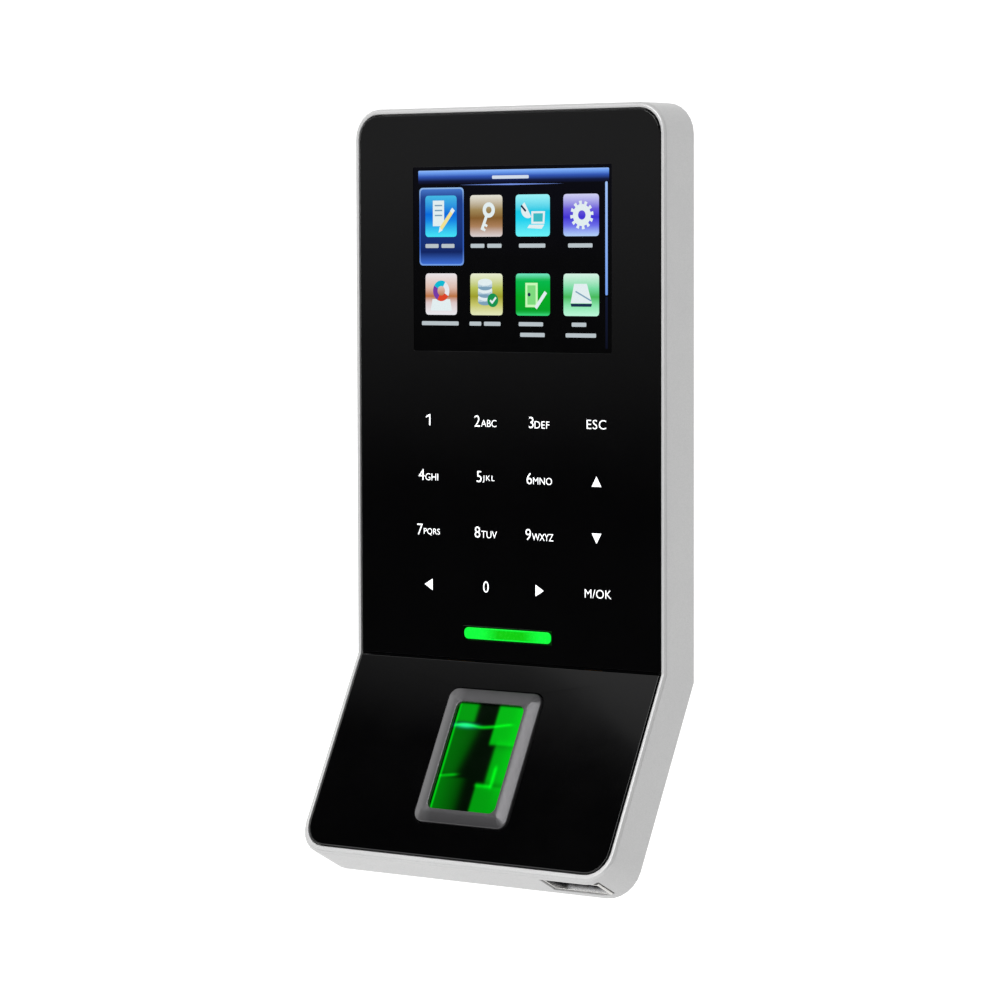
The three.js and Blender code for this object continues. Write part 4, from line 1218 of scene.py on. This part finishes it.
# Letters that are set wider or closer than the rest, and for the words height, spread and step to the right.
SPREAD = {"DEF": 1.07, "JKL": 1.27, "PQRS": 1.04, "WXYZ": 0.84}
WORDS = {"ESC": (1.86 * MM, 1.14, 0.0), "M/OK": (1.74 * MM, 1.06, 0.35 * MM)}
DIGIT_RISE, WORD_RISE, LETTER_GAP = 0.12, 0.3 * MM, 0.25 * MM
legends = []
for row, z in zip(KEYS, KEY_ROWS):
    for key, x in zip(row, KEY_COLUMNS):
        if key in TURNS:
            legends.append(arrow(x * MM, z * MM, TURNS[key]))
            continue
        if key in WORDS:
            height, spread, aside = WORDS[key]
            legends += key_text([(key, height, 0, spread)], x * MM + aside, z * MM + WORD_RISE)
            continue
        parts = [(key[0], DIGIT_HEIGHT, 0, 1.0)]
        if key[1:]:
            parts.append((key[1:], LETTER_HEIGHT, LETTER_GAP, SPREAD.get(key[1:], 1.0)))
        legends += key_text(parts, x * MM, (z + DIGIT_RISE) * MM)
stands_for(joined("keypad_legends", legends, WHITE_INK), body="terminal", slot="ivory_plastic")

# ---------------------------------------------------------------- lit fingerprint window
WINDOW_HALF = 8.5 * MM
WINDOW_TOP, WINDOW_FOOT = -9.3 * MM, -32.4 * MM
WINDOW_COLUMNS, WINDOW_ROWS = 90, 120
UNLIT_GREEN = (0.0, 0.02, 0.0, 1.0)


def window_light(a, b):
    """How the lit prism looks, a from left to right and b from top to foot: light from 0 up."""

    def soft(edge, value, width):
        return 1 / (1 + math.exp(-(value - edge) / width))

    def box(left, right, top, foot, wide=0.007, tall=0.006):
        """A block with soft edges."""
        across = soft(left, a, wide) * (1 - soft(right, a, wide))
        return across * soft(top, b, tall) * (1 - soft(foot, b, tall))

    # In turn: lit blocks, a bright line down each side, a wavy line with a flare, a slanted line, an angle.
    green = 0.004
    green += 0.34 * box(-0.1, 0.28, -0.1, 0.17, 0.012)
    green += 0.50 * box(0.60, 1.1, -0.1, 0.36)
    green += 0.42 * box(0.70, 1.1, 0.36, 0.73, 0.010, 0.02)
    green += 0.34 * box(0.58, 1.1, 0.745, 1.1)
    green += (0.15 - 0.20 * a) * box(-0.1, 0.46 - 0.35 * b, 0.225, 0.66, 0.03) if a < 0.7 else 0
    green += (0.20 - 0.40 * a) * box(-0.1, 0.38, 0.69, 1.1, 0.03) if a < 0.5 else 0
    green += 0.16 * box(0.88, 1.1, -0.1, 0.9, 0.04, 0.05)
    green += 0.75 * math.exp(-((a - 0.982) / 0.016) ** 2)
    green += 0.60 * math.exp(-((a - 0.014) / 0.014) ** 2) * (0.4 + 0.6 * soft(0.15, b, 0.05))
    wave = 0.212 - 0.016 * math.sin(9 * a) - 0.03 * soft(0.45, a, 0.05)
    line = math.exp(-((b - wave) / 0.012) ** 2) * (1 - soft(0.84, a, 0.02))
    green += 0.60 * line
    flare = math.exp(-((a - 0.17) / 0.13) ** 2 - ((b - 0.206) / 0.020) ** 2)
    green += 0.9 * flare
    green += 0.5 * math.exp(-((b - (0.685 - 0.09 * a)) / 0.013) ** 2) * (1 - soft(0.24, a, 0.02))
    green += 0.65 * box(0.57, 0.80, 0.732, 0.755, 0.008, 0.006)
    green += 0.65 * box(0.775, 0.815, 0.56, 0.75, 0.008, 0.01)
    rim = min(a, 1 - a, b, 1 - b)
    green *= soft(0.004, rim, 0.003)
    return (0.02 * flare, min(1.0, green), 0.012 * green + 0.32 * flare, 1.0)


def on_glass(mesh):
    """Cuts the glass face finely and gives each corner its light."""
    made = bmesh.new()
    made.from_mesh(mesh)
    made.transform(LOWER_FACE.inverted())
    top = max(v.co.z for v in made.verts)
    for axis, count in ((0, WINDOW_COLUMNS), (1, WINDOW_ROWS)):
        start = min(v.co[axis] for v in made.verts)
        end = max(v.co[axis] for v in made.verts)
        across = Vector((1 - axis, axis, 0))
        for step in range(1, count):
            faces = [f for f in made.faces if f.normal.z > 0.9 and f.calc_center_median().z > top - 0.3 * MM]
            edges = {e for f in faces for e in f.edges}
            corners = {v for f in faces for v in f.verts}
            place = across * (start + (end - start) * step / count)
            geometry = faces + list(edges) + list(corners)
            bmesh.ops.bisect_plane(made, geom=geometry, plane_co=place, plane_no=across, dist=1e-8)
    layer = made.loops.layers.float_color.new("glow")
    for face in made.faces:
        lit = face.normal.z > 0.5
        for loop in face.loops:
            p = loop.vert.co
            a = (p.x + WINDOW_HALF) / (2 * WINDOW_HALF)
            b = (WINDOW_TOP - p.y) / (WINDOW_TOP - WINDOW_FOOT)
            loop[layer] = window_light(a, b) if lit else UNLIT_GREEN
    made.transform(LOWER_FACE)
    made.to_mesh(mesh)
    made.free()
    if "custom_normal" in mesh.attributes:
        mesh.attributes.remove(mesh.attributes["custom_normal"])
    smooth_shading(mesh)


glass = rounded(copied("sensor_glass", "sensor_glass_finished"), 0.10 * MM)
on_glass(glass.data)
stands_for(glass, "sensor_glass")

# ---------------------------------------------------------------- floor, backdrop and light
FLOOR = CAD_LOW.z - 0.03
FLAT_REACH, RISE = 3.0, 0.9
FLAG_NEAR, FLAG_FAR = 0.16, 1.5
FLAG_LEFT, FLAG_RIGHT = math.radians(-58), math.radians(118)
FLAG_LOW, FLAG_HIGH = FLOOR + 0.004, 2.3
FLAG_STEPS = 48
UPPER_GLOW, LOWER_GLOW, GLOW_SLANT = 0.28, 0.36, 0.92


def stage_sweep():
    """A pale floor, lit a little by itself, that rises into a backdrop all round the object."""
    n = Nodes("pale_stage")
    n.paint(n.mixed(n.noise(3, 2), (0.24, 0.24, 0.24, 1), (0.26, 0.26, 0.26, 1)))
    n.set(Roughness=0.9, Emission_Color=(1, 1, 1, 1), Emission_Strength=0.92)
    made = bmesh.new()
    bmesh.ops.create_grid(made, x_segments=40, y_segments=40, size=6)
    for vert in made.verts:
        beyond = max(0.0, math.hypot(vert.co.x, vert.co.y) - FLAT_REACH)
        vert.co.z = FLOOR + RISE * beyond * beyond
    for face in made.faces:
        face.smooth = True
    object_of("pale_floor", mesh_from("pale_floor", made), n.material)


def front_flag():
    """A dark curved card before the object, seen only in its reflections, with two faint soft glows."""
    n = Nodes("front_flag")
    height = n.part("Z")
    upper_rise = n.between(height, 0.0, UPPER_GLOW, -0.10, 0.085)
    upper_fall = n.between(height, 1.0, 0.0, 0.30, 0.60)
    slanted = n.math("SUBTRACT", height, n.math("MULTIPLY", n.part("X"), GLOW_SLANT))
    lower_rise = n.between(slanted, 0.0, LOWER_GLOW, 1.950, 2.090)
    glow = n.math("ADD", n.math("MULTIPLY", upper_rise, upper_fall), lower_rise)
    n.drive("Emission Strength", glow)
    n.paint(n.mixed(n.noise(3, 2), (0.01, 0.01, 0.01, 1), (0.012, 0.012, 0.012, 1)))
    n.set(Roughness=1.0, Specular_IOR_Level=0.0, Emission_Color=(1, 1, 1, 1))
    made = bmesh.new()
    rows = []
    for far, level in ((FLAG_NEAR, FLAG_LOW), (FLAG_FAR, FLAG_LOW), (FLAG_FAR, FLAG_HIGH)):
        row = []
        for step in range(FLAG_STEPS + 1):
            turn = FLAG_LEFT + (FLAG_RIGHT - FLAG_LEFT) * step / FLAG_STEPS
            row.append(made.verts.new((far * math.sin(turn), -far * math.cos(turn), level)))
        rows.append(row)
    for below, above in zip(rows, rows[1:]):
        for step in range(FLAG_STEPS):
            made.faces.new((below[step + 1], below[step], above[step], above[step + 1]))
    flag = object_of("front_flag", mesh_from("front_flag", made), n.material)
    flag.visible_camera = False
    flag.visible_diffuse = False
    flag.visible_shadow = False
    flag.visible_transmission = False


def softbox(name, direction, distance, width, height, power):
    """A soft light that faces the object."""
    light = bpy.data.lights.new(name, "AREA")
    light.shape = "RECTANGLE"
    light.size, light.size_y = width, height
    light.energy = power
    made = linked(bpy.data.objects.new(name, light))
    aim = Vector(direction).normalized()
    made.location = CENTRE + aim * distance
    made.rotation_mode = "QUATERNION"
    made.rotation_quaternion = aim.to_track_quat("Z", "Y")
    made.visible_camera = False


stage_sweep()
front_flag()
softbox("key_front", (-0.1, -0.85, 0.5), distance=1.4, width=1.0, height=0.8, power=17)
softbox("key_high_left", (-0.55, -0.35, 0.9), distance=1.5, width=1.0, height=1.0, power=1)
softbox("top", (0.05, 0.1, 1.0), distance=1.4, width=1.0, height=0.8, power=1)

world = bpy.data.worlds.new("studio_air")
bpy.context.scene.world = world
world.use_nodes = True
air = world.node_tree.nodes["Background"]
air.inputs["Color"].default_value = (1, 1, 1, 1)
air.inputs["Strength"].default_value = 0.03
